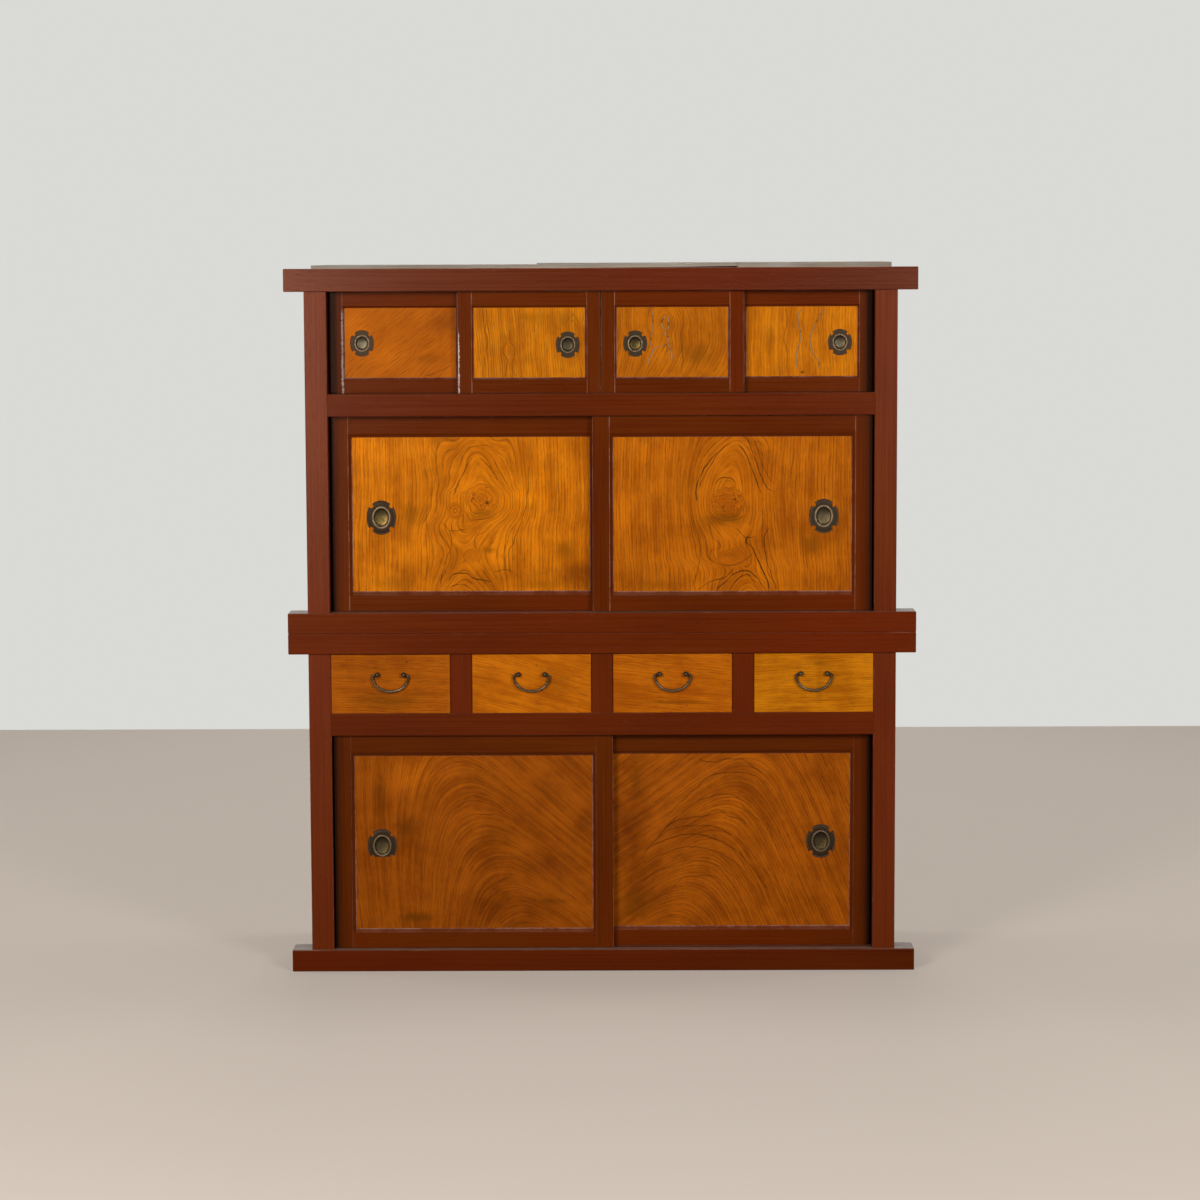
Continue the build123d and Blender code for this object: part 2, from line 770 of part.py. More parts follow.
def drawer_box(middle):
    """Two sides, a back and a bottom, nailed together behind the front."""
    box_x = inset(around(middle, drawer_width), drawer_box_inset)
    inner_x = inset(box_x, drawer_wall)
    bottom = drawer_z[0] + drawer_bottom_rise
    bottom_z = (bottom, bottom + drawer_bottom_thickness)
    with BuildPart() as sides:
        for x in ((box_x[0], inner_x[0]), (inner_x[1], box_x[1])):
            timber(x, drawer_box_y, (drawer_z[0], drawer_z[0] + drawer_side_height))
    with BuildPart() as bottom_board:
        timber(inner_x, drawer_box_y, bottom_z)
    with BuildPart() as back_board:
        timber(inner_x, below(drawer_box_y[1], drawer_wall),
               (bottom_z[1], bottom_z[1] + drawer_back_height))
    return Compound(children=[sides.part, bottom_board.part, back_board.part])


def stud(place):
    """A turned stud: a knob on a neck, with a shank through the front to a washer behind it."""
    neck_end = stud_reach - sqrt(knob_radius**2 - neck_radius**2)
    washer_y = (drawer_front_thickness, drawer_front_thickness + washer_thickness)
    with BuildPart() as turned:
        with BuildSketch(Plane((place, face, stud_z), x_dir=(1, 0, 0), z_dir=(0, 0, 1))) as profile:
            with BuildLine():
                shank = Polyline(
                    (0, washer_y[1]),
                    (washer_radius, washer_y[1]),
                    (washer_radius, washer_y[0]),
                    (shank_radius, washer_y[0]),
                    (shank_radius, 0),
                    (neck_radius, 0),
                    (neck_radius, -neck_end),
                )
                knob = ThreePointArc(
                    shank @ 1, (knob_radius, -stud_reach), (0, -stud_reach - knob_radius)
                )
                Line(knob @ 1, shank @ 0)
            make_face()
        revolve(axis=Axis((place, face, stud_z), (0, 1, 0)))
    return turned.part


def studs(middle):
    """The two studs of a drawer, bored from their outer sides for the pins of the bail."""
    with BuildPart() as pair:
        for side in (-1, 1):
            place = middle + side * stud_spacing / 2
            add(stud(place))
            bore_length = knob_radius + bail_pin_inset + bail_pin_play
            bore_middle = place + side * (knob_radius - bail_pin_inset - bail_pin_play) / 2
            with Locations(Location((bore_middle, pivot_y, stud_z), (0, 90, 0))):
                Cylinder(bail_pin_radius + bail_pin_play, bore_length, mode=Mode.SUBTRACT)
    return pair.part


def bail(middle):
    """A bent wire handle, thick at its belly and thin at the pins that turn in the studs."""
    bend_x = bail_width / 2 - bail_shoulder
    pin_length = bend_x - stud_spacing / 2 + bail_pin_inset
    with BuildPart() as wire:
        with BuildLine(Plane((middle, pivot_y, stud_z), x_dir=(1, 0, 0), z_dir=(0, -1, 0))) as path:
            CenterArc((-bend_x, -bail_shoulder), bail_shoulder, 90, 90)
            EllipticalCenterArc((0, -bail_shoulder), bail_width / 2, bail_drop - bail_shoulder, 180,
                                arc_size=180)
            CenterArc((bend_x, -bail_shoulder), bail_shoulder, 0, 90)
        curve = path.wires()[0]
        sections = []
        for share, radius in ((0, bail_pin_radius), (0.5, bail_belly_radius), (1, bail_pin_radius)):
            with BuildSketch(Plane(curve @ share, z_dir=curve % share), mode=Mode.PRIVATE) as section:
                Circle(radius)
            sections.append(section.sketch)
        sweep(sections=sections, path=curve, multisection=True)
        for end, inward in ((-bend_x, 1), (bend_x, -1)):
            with BuildSketch(Plane((middle + end, pivot_y, stud_z), z_dir=(inward, 0, 0))):
                Circle(bail_pin_radius)
            extrude(amount=pin_length)
    return wire.part


for number, place in enumerate(drawer_places, start=1):
    save(drawer_front(place), f"drawer_{number}_front")
    save(drawer_box(place), f"drawer_{number}_box")
    save(studs(place), f"drawer_{number}_studs")
    save(bail(place), f"drawer_{number}_bail")
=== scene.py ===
# %% [markdown]
# # A mizuya, dressed in Blender
#
# A mizuya is the kitchen cabinet of an old Japanese house: two framed chests, one standing loose on
# the other, closed by sliding doors and drawers. The carpentry comes from a CAD model, at its real
# size. This notebook gives it what a carpenter's drawing leaves out: figured zelkova panels under
# golden lacquer, dark red-brown lacquer on the frame, cast bronze pulls, nails, wear and light.
#
# The carpentry is loaded first and never moved. Its pieces are meshes in metres, with +Z up and the
# front facing -Y.

# %% Load the carpentry
import math

import bmesh
import bpy
from mathutils import Matrix, Vector


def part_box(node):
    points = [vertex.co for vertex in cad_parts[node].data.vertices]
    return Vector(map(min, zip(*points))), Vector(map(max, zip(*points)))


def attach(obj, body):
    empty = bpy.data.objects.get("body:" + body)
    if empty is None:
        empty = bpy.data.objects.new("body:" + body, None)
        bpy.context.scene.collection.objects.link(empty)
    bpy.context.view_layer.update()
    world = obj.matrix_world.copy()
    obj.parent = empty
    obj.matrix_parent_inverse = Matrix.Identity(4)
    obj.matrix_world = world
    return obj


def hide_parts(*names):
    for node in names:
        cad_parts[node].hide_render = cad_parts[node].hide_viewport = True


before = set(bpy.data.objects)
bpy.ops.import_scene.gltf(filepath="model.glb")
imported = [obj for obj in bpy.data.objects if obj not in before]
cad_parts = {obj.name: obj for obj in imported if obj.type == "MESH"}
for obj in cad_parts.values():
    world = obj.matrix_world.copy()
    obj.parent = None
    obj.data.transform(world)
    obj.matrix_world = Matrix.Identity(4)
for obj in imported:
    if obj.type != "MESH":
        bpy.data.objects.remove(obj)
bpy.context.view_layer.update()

scene = bpy.context.scene


def put_in_scene(name, data):
    """A new object, at the origin."""
    made = bpy.data.objects.new(name, data)
    scene.collection.objects.link(made)
    return made


print("pieces of carpentry:", len(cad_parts))

# %% [markdown]
# ## The camera
#
# The cabinet is seen almost square on, from eye height and some eight metres away. That is far enough
# for the posts to look parallel. A long lens fills the picture. The camera is turned with three small
# angles, rather than aimed at a point, so that each one can be read and changed by itself.

# %% Camera
picture_width = 1200  # pixels, square
focal_pixels = 3253.0
camera_place = Vector((0.036, -8.218, 1.780))
camera_yaw = math.radians(-0.29)
camera_pitch_down = math.radians(6.07)
camera_roll = math.radians(-0.236)
sensor_width = 36.0  # millimetres

camera_data = bpy.data.cameras.new("camera")
camera_data.sensor_width = sensor_width
camera_data.lens = focal_pixels / picture_width * sensor_width
camera = put_in_scene("camera", camera_data)
scene.camera = camera
camera.matrix_world = (
    Matrix.Translation(camera_place)
    @ Matrix.Rotation(-camera_yaw, 4, "Z")
    @ Matrix.Rotation(math.pi / 2 - camera_pitch_down, 4, "X")
    @ Matrix.Rotation(camera_roll, 4, "Z")
)
scene.view_settings.view_transform = "Standard"
print("lens in millimetres:", round(camera_data.lens, 1))

# %% [markdown]
# ## Shader maths as Python
#
# A wood finish is mostly arithmetic: how far is this point from the heart of the tree, which ring is
# it in, how worn is this corner. Written as nodes placed one by one, that arithmetic is hard to read.
# So a small class wraps a socket and lets Python's operators add the Math nodes. A second class holds
# the material and has one method that makes every other kind of node.

# %% Numbers that vary over a surface
class Field:
    """A number or colour that varies over a surface. Arithmetic on it adds Math nodes."""

    def __init__(self, finish, socket):
        self.finish = finish
        self.socket = socket

    def __add__(self, other):
        return self.finish.math("ADD", self, other)

    def __sub__(self, other):
        return self.finish.math("SUBTRACT", self, other)

    def __rsub__(self, other):
        return self.finish.math("SUBTRACT", other, self)

    def __mul__(self, other):
        return self.finish.math("MULTIPLY", self, other)

    def __truediv__(self, other):
        return self.finish.math("DIVIDE", self, other)

    def __pow__(self, other):
        return self.finish.math("POWER", self, other)

    def __gt__(self, other):
        return self.finish.math("GREATER_THAN", self, other)

    def __abs__(self):
        return self.finish.math("ABSOLUTE", self)

    __radd__ = __add__
    __rmul__ = __mul__


# %% A material built from expressions
corner_lean = (0.72, 0.76)  # largest part of a face's direction: 0.71 at 45 degrees, 1 when square
line_core = 0.3  # share of a line's half width that is dark all through


class Finish:
    """The nodes of a new material, or of a world that is given."""

    def __init__(self, name, given=None):
        self.material = given or bpy.data.materials.new(name)
        self.material.use_nodes = True
        self.tree = self.material.node_tree
        self.tree.nodes.clear()
        place = self.node("ShaderNodeTexCoord", output="Object")
        self.x, self.y, self.z = (
            self.node("ShaderNodeSeparateXYZ", inputs={0: place}, output=axis) for axis in range(3)
        )

    def node(self, kind, settings=None, inputs=None, output=0):
        """Make a node, set its settings, fill or link its inputs, and return one output."""
        made = self.tree.nodes.new(kind)
        for name, value in (settings or {}).items():
            if name == "points":
                self._draw_curve(made.mapping, value)
            else:
                setattr(made, name, value)
        for key, value in (inputs or {}).items():
            if isinstance(value, Field):
                self.tree.links.new(value.socket, made.inputs[key])
            else:
                made.inputs[key].default_value = value
        return Field(self, made.outputs[output]) if made.outputs else made

    @staticmethod
    def _draw_curve(mapping, points):
        curve = mapping.curves[0]
        while len(curve.points) < len(points):
            curve.points.new(0.5, 0.5)
        for point, place in zip(curve.points, points):
            point.location = place
            point.handle_type = "AUTO_CLAMPED"
        mapping.update()

    def math(self, operation, *values):
        return self.node("ShaderNodeMath", {"operation": operation}, dict(enumerate(values)))

    def smooth(self, value, low, high):
        """0 up to low, 1 from high on, and an S-curve between them."""
        settings = {"interpolation_type": "SMOOTHSTEP"}
        return self.node("ShaderNodeMapRange", settings, {0: value, 1: low, 2: high})

    def line(self, distance, width):
        """1 on a line, where a distance is 0, and 0 from a width away on."""
        return 1 - self.smooth(abs(distance), width * line_core, width)

    def profile(self, value, points):
        """A smooth curve through (place, height) pairs, in the order of their places."""
        places, heights = zip(*points)
        first, reach = places[0], places[-1] - places[0]
        lowest, span = min(heights), max(heights) - min(heights)
        curve = [((place - first) / reach, (height - lowest) / span) for place, height in points]
        share = (value - first) / reach
        return self.node("ShaderNodeFloatCurve", {"points": curve}, {"Value": share}) * span + lowest

    def noise(self, a, b, c, detail=2.0, rough=0.5):
        """Soft noise from 0 to 1, in a space of three fields or numbers."""
        space = self.node("ShaderNodeCombineXYZ", inputs={0: a, 1: b, 2: c})
        inputs = {"Vector": space, "Scale": 1.0, "Detail": detail, "Roughness": rough}
        return self.node("ShaderNodeTexNoise", inputs=inputs)

    def mottle(self, fineness, detail=2.0, rough=0.5):
        """Soft noise that varies alike in every direction, so many times in a metre."""
        return self.noise(self.x * fineness, self.y * fineness, self.z * fineness, detail, rough)

    def far(self, a, b, place, size=(1.0, 1.0)):
        """Distance from a place, in its own two sizes."""
        across = (a - place[0]) / size[0]
        up = (b - place[1]) / size[1]
        return self.math("SQRT", across * across + up * up)

    def blend(self, share, first, second, kind="MIX"):
        """Colours mixed by a share from 0 to 1."""
        first, second = ((*c, 1.0) if isinstance(c, tuple) else c for c in (first, second))
        settings = {"data_type": "RGBA", "blend_type": kind}
        return self.node("ShaderNodeMix", settings, {0: share, 6: first, 7: second}, output=2)

    def faces(self, axis):
        """How squarely the surface faces along an axis: 1 with it, -1 against it."""
        normal = self.node("ShaderNodeNewGeometry", output="True Normal")
        return self.node("ShaderNodeSeparateXYZ", inputs={0: normal}, output=axis)

    def corner(self):
        """1 on the planed or worn corners, whose faces lean at 45 degrees, and 0 elsewhere."""
        parts = [abs(self.faces(axis)) for axis in range(3)]
        largest = self.math("MAXIMUM", self.math("MAXIMUM", parts[0], parts[1]), parts[2])
        return 1 - self.smooth(largest, *corner_lean)

    def surface(self, colour, roughness, height=None, relief=0.0, **sockets):
        """End the material in a Principled shader."""
        inputs = {"Base Color": colour, "Roughness": roughness}
        if height is not None:
            bump = {"Height": height, "Strength": 1.0, "Distance": relief}
            inputs["Normal"] = self.node("ShaderNodeBump", inputs=bump)
        for name, value in sockets.items():
            inputs[name.replace("_", " ").title().replace("Ior", "IOR")] = value
        shader = self.node("ShaderNodeBsdfPrincipled", inputs=inputs)
        self.node("ShaderNodeOutputMaterial", inputs={0: shader})
        return self


def dress(node, finish):
    """Give a piece of the carpentry its finish."""
    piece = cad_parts[node]
    for place in piece.material_slots:
        place.material = finish.material


# %% [markdown]
# ## Lacquer on the frame
#
# Posts, beams, rails and door frames are wiped with thin red-brown lacquer, coat after coat, so the
# grain still shows as faint streaks along each timber. Hands, feet and doors have rubbed the corners
# to a paler pink-brown. Each timber's grain has to run along it, so the finish takes the direction as
# three fields: one along the timber and two across it. In a door frame the stiles stand and the rails
# lie, so there the direction is itself mixed by where the point is.

# %% Lacquer
lacquer_deep = (0.094, 0.0112, 0.0004)
lacquer_warm = (0.128, 0.0185, 0.0008)
lacquer_red = (0.142, 0.0145, 0.0010)
# Pale worn lacquer, also the colour of the painted highlight on the door frames' bottom bevels.
lacquer_wear_and_highlight = (0.40, 0.215, 0.150)
lacquer_dust = (0.30, 0.225, 0.175)
lacquer_grime = (0.020, 0.0065, 0.003)
lacquer_sheen = (1.0, 0.47, 0.33, 1.0)
streak_fineness = 230  # streaks across a metre of timber
pore_fineness = 900
warm_range = (0.32, 0.68)  # a range is where a share rises from 0 to 1
red_range = (0.45, 0.70)
lacquer_pore_range = (0.62, 0.75)
dusty_range = (0.80, 0.95)  # 1 is a face that looks straight up
shaded_corner_range = (-0.6, -0.2)
lacquer_relief = 0.0002  # metres


def lacquer(finish, along, across, depth, wear_and_highlight, shade, gloss=0.34, over=()):
    """Faintly streaked red-brown lacquer, pale on its wear and painted highlights, dusty where it
    faces up.

    Shade scales the red, green and blue of the lacquer. Each of over is a share from 0 to 1 and a
    colour that lies over the rest.
    """
    fine = [part * streak_fineness for part in (across, depth)]
    streaks = finish.noise(along * 3.0, *fine, detail=3.0, rough=0.6)
    clouds = finish.noise(along * 2.4, across * 8, depth * 8, detail=3.0)
    blush = finish.noise(along * 1.3 + 7.0, across * 3, depth * 3, detail=1.0)
    fine = [part * pore_fineness for part in (across, depth)]
    pores = finish.smooth(finish.noise(along * 40, *fine), *lacquer_pore_range)
    deep, warm, red = (
        tuple(share * part for share, part in zip(shade, tone))
        for tone in (lacquer_deep, lacquer_warm, lacquer_red)
    )
    colour = finish.blend(finish.smooth(streaks * 0.45 + clouds * 0.55, *warm_range), deep, warm)
    colour = finish.blend(finish.smooth(blush, *red_range) * 0.6, colour, red)
    colour = finish.blend(pores * 0.30, colour, lacquer_grime)
    facing_up = finish.smooth(finish.faces(2), *dusty_range)
    dust = finish.mottle(30, detail=3.0)
    colour = finish.blend(facing_up * (0.35 + dust * 0.5), colour, lacquer_dust)
    colour = finish.blend(wear_and_highlight, colour, lacquer_wear_and_highlight)
    for share, tone in over:
        colour = finish.blend(share, colour, tone)
    roughness = 0.19 + streaks * 0.18 + wear_and_highlight * 0.2
    height = streaks * 0.7 - pores * 0.6
    sheen = {"specular_ior_level": gloss, "specular_tint": lacquer_sheen}
    return finish.surface(colour, roughness, height, lacquer_relief, **sheen)


def rubbed_corners(finish, amount):
    """Worn corners, in stretches, and weaker on the corners that face down, as painted shade."""
    stretches = finish.mottle(9, detail=5.0, rough=0.7)
    # Painted shade: corners that face down keep little of their pale wear.
    out_of_shade = 0.15 + 0.85 * finish.smooth(finish.faces(2), *shaded_corner_range)
    worn = 0.25 + 0.75 * finish.smooth(stretches, 0.60 - amount * 0.3, 0.70)
    return finish.corner() * worn * out_of_shade * amount


def timber_finish(name, direction, shade=1.0, gloss=0.3, amount=0.6):
    """Lacquer for timbers that all run one way."""
    finish = Finish(name)
    axes = {
        "x": (finish.x, finish.z, finish.y),
        "y": (finish.y, finish.z, finish.x),
        "z": (finish.z, finish.x, finish.y),
    }
    return lacquer(finish, *axes[direction], rubbed_corners(finish, amount), (shade,) * 3, gloss)


timbers = {  # grain, shade, gloss and wear, then the pieces
    # painted shade: the top beams are darkened to even out the stronger light high up
    "top_beams": ("x", 0.80, 0.38, 0.55, ("upper_top_beams",)),
    "rails": ("x", 0.92, 0.18, 0.25, ("upper_middle_rails", "drawer_rails")),
    "seam_beams": ("x", 0.97, 0.16, 0.30, ("lower_top_beams", "upper_bottom_beams")),
    # painted shade: the base beams are darkened as the light falls off towards the floor
    "base_beams": ("x", 0.76, 0.16, 0.45, ("lower_base_beams",)),
    "side_rails": ("y", 1.00, 0.30, 0.40, ("lower_side_rails", "upper_side_rails")),
    "posts": ("z", 1.07, 0.34, 0.30, ("lower_posts", "upper_posts")),
    "dividers": ("z", 0.93, 0.20, 0.05, ("drawer_dividers",)),
}
for name, (direction, shade, gloss, wear, nodes) in timbers.items():
    coat = timber_finish(f"lacquer_{name}", direction, shade, gloss, wear)
    for node in nodes:
        dress(node, coat)
    print("lacquered", name, "along", direction)

# %% [markdown]
# ## Bare cedar
#
# What the kitchen never sees is left bare: the back, the shelves, the drawer boxes and the roof. It
# is planed cedar with straight grain, brown inside and silver-grey on the roof, where dust and sun
# reach it.

# %% Cedar
cedar_dust = (0.36, 0.34, 0.30)
cedar_ring_range = (0.3, 0.7)
cedar_fibre_range = (0.5, 0.8)
blot_range = (0.45, 0.8)
cedar_relief = 0.0005


def cedar_finish(name, direction, pale, dark, dust=0.0):
    """Bare straight-grained boards."""
    finish = Finish(name)
    axes = {
        "x": (finish.x, finish.y, finish.z),
        "y": (finish.y, finish.x, finish.z),
        "z": (finish.z, finish.x, finish.y),
    }
    along, across, depth = axes[direction]
    bend = finish.noise(along * 1.5, across * 4, depth * 4) * 0.02
    rings = finish.noise(along * 0.8, (across + bend) * 160, depth * 60, detail=3.0)
    fibre = finish.noise(along * 30, across * 700, depth * 700)
    darkest = tuple(0.5 * part for part in dark)
    colour = finish.blend(finish.smooth(rings, *cedar_ring_range), pale, dark)
    colour = finish.blend(finish.smooth(fibre, *cedar_fibre_range) * 0.4, colour, darkest)
    blots = finish.mottle(5, detail=3.0)
    colour = finish.blend(finish.smooth(blots, *blot_range) * dust, colour, cedar_dust)
    return finish.surface(colour, 0.62 + rings * 0.2, rings * 0.6 - fibre * 0.3, cedar_relief)


cedar_inside = ((0.40, 0.25, 0.13), (0.22, 0.12, 0.055))
cedar_outside = ((0.30, 0.20, 0.12), (0.13, 0.075, 0.04))
cedar_roof = ((0.40, 0.33, 0.25), (0.20, 0.155, 0.11))
inside_boards = cedar_finish("cedar_inside", "x", *cedar_inside)
for node in ("lower_shelf_boards", "upper_shelf_boards", "lower_lid_boards", "drawer_deck"):
    dress(node, inside_boards)
back_finish = cedar_finish("cedar_back", "z", *cedar_outside, dust=0.3)
for node in ("lower_back_boards", "upper_back_boards"):
    dress(node, back_finish)
dress("roof_boards", cedar_finish("cedar_roof", "x", *cedar_roof, dust=0.8))
drawer_sides = cedar_finish("cedar_drawer", "y", *cedar_inside)
for number in range(1, 5):
    dress(f"drawer_{number}_box", drawer_sides)

side_board = timber_finish("lacquer_side_boards", "y")
for node in ("lower_side_panels", "upper_side_panels"):
    dress(node, side_board)
print("boards dressed, bare inside and lacquered on the sides")

# %% [markdown]
# ## Door frames
#
# Each door frame has its own material, because its worn lines follow its own inner edge, where the
# bevel meets the panel. The distance to that edge is the larger of two distances, one across and one
# up: a contour of that is a rectangle. A second thin line shows where each stile meets the rails.
# On two doors the lacquer has chipped off a corner in bright flecks. Beside the posts the stiles
# carry painted shadow, where the posts would shade the recessed doors. The pale line on the bottom
# bevel is painted highlight, and the worn line is weaker along the top edge, as painted shade.

# %% Door frames
doors = [f"small_door_{n}" for n in range(1, 5)]
doors += ["tall_door_left", "tall_door_right", "low_door_left", "low_door_right"]
panel_hidden = 0.0045  # of each panel edge, in the frame's groove
small_bevel = 0.0055
large_bevel = 0.010
worn_line = 0.0018  # half widths
joint_line = 0.0014
bevel_worn_at = 0.0010  # past the edge of the panel
# The bottom bevel's pale line is painted highlight, on a bevel that faces up into the light.
edge_wear, joint_wear, low_joint_wear, sill_highlight, corner_wear = 0.55, 0.50, 0.12, 0.12, 0.8
stretch_range = (0.40, 0.60)
frame_gloss = 0.12
thin_post_shadow_share = 0.55  # of the thin painted post shadow beyond the dark strip
fleck_white = (0.78, 0.68, 0.62)
post_shadow = (0.012, 0.0035, 0.0012)
frame_shade = (0.91, 1.04, 0.8)  # browner than the posts
low_frame_shade = (0.86, 1.08, 0.6)


def window(door):
    """Middle and half size of the visible panel of a door, as (x, z) pairs."""
    low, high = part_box(f"{door}_panel")
    middle = ((low.x + high.x) / 2, (low.z + high.z) / 2)
    half = ((high.x - low.x) / 2 - panel_hidden, (high.z - low.z) / 2 - panel_hidden)
    return middle, half


def flecks(finish, up, place, highest, amount):
    """Chips along an upright edge: where it stands, how far up they reach and how bright they are."""
    wander = (finish.noise(finish.z * 45, place, 0.0, detail=3.0) - 0.5) * 0.0040
    chips = finish.noise(finish.x * 60, finish.z * 150, place, detail=6.0, rough=0.8)
    lower = 1 - finish.smooth(up, highest - 1.1, highest)
    breadth = 0.0006 + 0.0042 * finish.smooth(chips + lower * 0.08, 0.42, 0.66)
    chip = finish.line(finish.x - place - wander, breadth)
    chip = chip * finish.smooth(chips + lower * 0.12, 0.44, 0.52)
    return chip * finish.smooth(lower, 0.0, 0.3) * amount


def frame_finish(door, chipped=None):
    """Lacquer on stiles and rails, with worn lines along both edges of the bevel."""
    finish = Finish(f"lacquer_{door}")
    middle, half = window(door)
    bevel = small_bevel if door.startswith("small") else large_bevel
    past_x = abs(finish.x - middle[0]) - half[0]
    past_z = abs(finish.z - middle[1]) - half[1]
    on_stile = finish.math("MAXIMUM", past_x > past_z, past_x > bevel)
    on_rail = 1 - on_stile
    along = on_stile * finish.z + on_rail * finish.x
    across = on_stile * finish.x + on_rail * finish.z
    past = finish.math("MAXIMUM", past_x, past_z)
    stretches = finish.mottle(22, detail=4.0, rough=0.7)
    in_stretches = 0.35 + 0.65 * finish.smooth(stretches, *stretch_range)
    # Along the top edge the worn line shows at a quarter: painted shade, where the bevel faces down.
    below_top = 1 - finish.smooth(finish.z - middle[1], half[1] - 0.002, half[1])
    inner = finish.line(past - bevel_worn_at, worn_line) * (0.25 + 0.75 * below_top)
    joint = finish.line(past_x - bevel, joint_line)
    # Painted highlight: a pale line along the bottom bevel of the window.
    lit_sill = 1 - finish.smooth(finish.z, middle[1] - half[1] - 0.001, middle[1] - half[1])
    lit_sill = lit_sill * (1 - finish.smooth(past_z, bevel - 0.001, bevel + 0.001))
    lit_sill = lit_sill * (1 - finish.smooth(past_x, 0.0, 0.002))
    low_door = door.startswith("low")
    joint = joint * (low_joint_wear if low_door else joint_wear)
    wear_and_highlight = finish.math("MAXIMUM", inner * edge_wear, joint)
    wear_and_highlight = finish.math("MAXIMUM", wear_and_highlight, lit_sill * sill_highlight) * in_stretches
    wear_and_highlight = finish.math("MAXIMUM", wear_and_highlight, rubbed_corners(finish, corner_wear))
    over = []
    # Painted shadow: a dark strip on the stile beside the post, and a thinner shade beyond it, where
    # the post shades the recessed door.
    if door in post_shadow_reach:
        reach = post_shadow_reach[door]
        low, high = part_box(f"{door}_frame")
        from_post = finish.x - low.x if middle[0] < 0 else high.x - finish.x
        thin = 1 - finish.smooth(from_post, reach * 0.5, reach + 0.026)
        over.append((1 - finish.smooth(from_post, reach - 0.004, reach + 0.002), post_shadow))
        over.append((thin * thin_post_shadow_share, post_shadow))
    if chipped is not None:
        up = (finish.z - middle[1]) / half[1]
        over.append((flecks(finish, up, *chipped), fleck_white))
    shade = low_frame_shade if low_door else frame_shade
    return lacquer(finish, along, across, finish.y, wear_and_highlight, shade, frame_gloss, over)


first_middle, first_half = window("small_door_1")
chipped_edges = {  # where, how far up (1 is the top of the panel) and how bright
    "small_door_1": (first_middle[0] - first_half[0] - small_bevel, 1.2, 0.28),
    "small_door_2": (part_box("small_door_2_frame")[0].x, 0.55, 0.95),
}
post_shadow_reach = {  # how far the painted shadow reaches from the post
    "small_door_1": 0.020, "small_door_4": 0.016, "tall_door_left": 0.008, "tall_door_right": 0.008,
    "low_door_left": 0.008, "low_door_right": 0.008,
}
for door in doors:
    dress(f"{door}_frame", frame_finish(door, chipped_edges.get(door)))
print("door frames lacquered:", len(doors))

# %% [markdown]
# ## Figured zelkova
#
# The panels are the pride of the cabinet: keyaki, the zelkova tree, cut flat so that its growth rings
# surface as arches and eyes. A ring is a surface of equal age round the heart of the tree, and the
# figure is where the board cuts those surfaces. So each board needs one function, its age: how far
# each point is from the heart, here in millimetres. An eye is where the heart comes near the board,
# so the age is the length of (distance from the centre line, depth of the heart), and only the centre
# line and the depth are drawn. An arch is a hyperbola, blunt at the top and straight down its
# sides.

# %% Growth
ring_power = 1.7  # 2 would give round loops, less gives pointed ones
bend_fades = (50, 190)  # from the middle of the board
depth_fades = (36, 135)  # from the heart line
left_turn = -70  # past here the rings of an arch turn upright
first_age = 600  # so that no age is below 0


def age_with_eye(heart_line, heart_depth):
    """Age for a board that the heart comes near: closed loops round the eye, a neck below it.

    Far from the heart line its bends and its depth count for less, so the rings there run straight.
    """
    def age(finish, u, v):
        bend = finish.profile(v, heart_line) * (1 - finish.smooth(abs(u), *bend_fades) * 0.85)
        aside = abs(u - bend)
        depth = finish.profile(v, heart_depth) * (1 - finish.smooth(aside, *depth_fades) * 0.82)
        return (aside ** ring_power + depth ** ring_power) ** (1 / ring_power)
    return age


def age_with_arches(left, right, blunt, lean, apex, upright=0.0):
    """Age for a board cut through stacked arches that open downwards, with the slopes of their sides.

    Upright is how fast the rings far to the left turn upright.
    """
    left = left / (1 - lean * left)
    right = right / (1 + lean * right)

    def age(finish, u, v):
        aside = u - apex - v * lean
        hump = finish.math("SQRT", aside * aside + blunt * blunt)
        far_left = finish.math("MAXIMUM", left_turn - aside, 0.0)
        sides = hump * ((left + right) / 2) + aside * ((right - left) / 2)
        return v + sides + far_left * far_left * upright + first_age
    return age


def age_straight(slope_u, slope_v, wave):
    """Age for a straight-grained board, with rings that wave a little."""
    def age(finish, u, v):
        sway = finish.noise(u * 0.006 * slope_v, v * 0.006 * slope_u, 3.0) * wave
        return u * slope_u + v * slope_v + sway + first_age
    return age


# %% [markdown]
# Rings that follow one rule are too even. On the real boards a few bold lines, patches and lighter
# places catch the eye first, so each board also has those, listed in millimetres from its middle:
# u to the right and v up.

# %% A board, and what is placed on it
pore_glint = (0.36, 0.235, 0.125)  # painted highlight: the pale glint of light along an open pore line
lighter = (1.5, 1.6, 1.2)  # what the wood is multiplied by at a shade of 0.42
darker = (0.5, 0.42, 0.5)
line_fade = 8  # millimetres at each end of a line
line_shake = 8.0
line_breadth = 1.9  # times the half width that is given
glint_edge_breadth = 3.4
glint_edge_share = 0.55
broken_range = (0.36, 0.50)
shade_range = (0.3, 1.6)
shade_gain = 2.4
mark_range = (0.45, 1.45)
strong_mark = 0.8


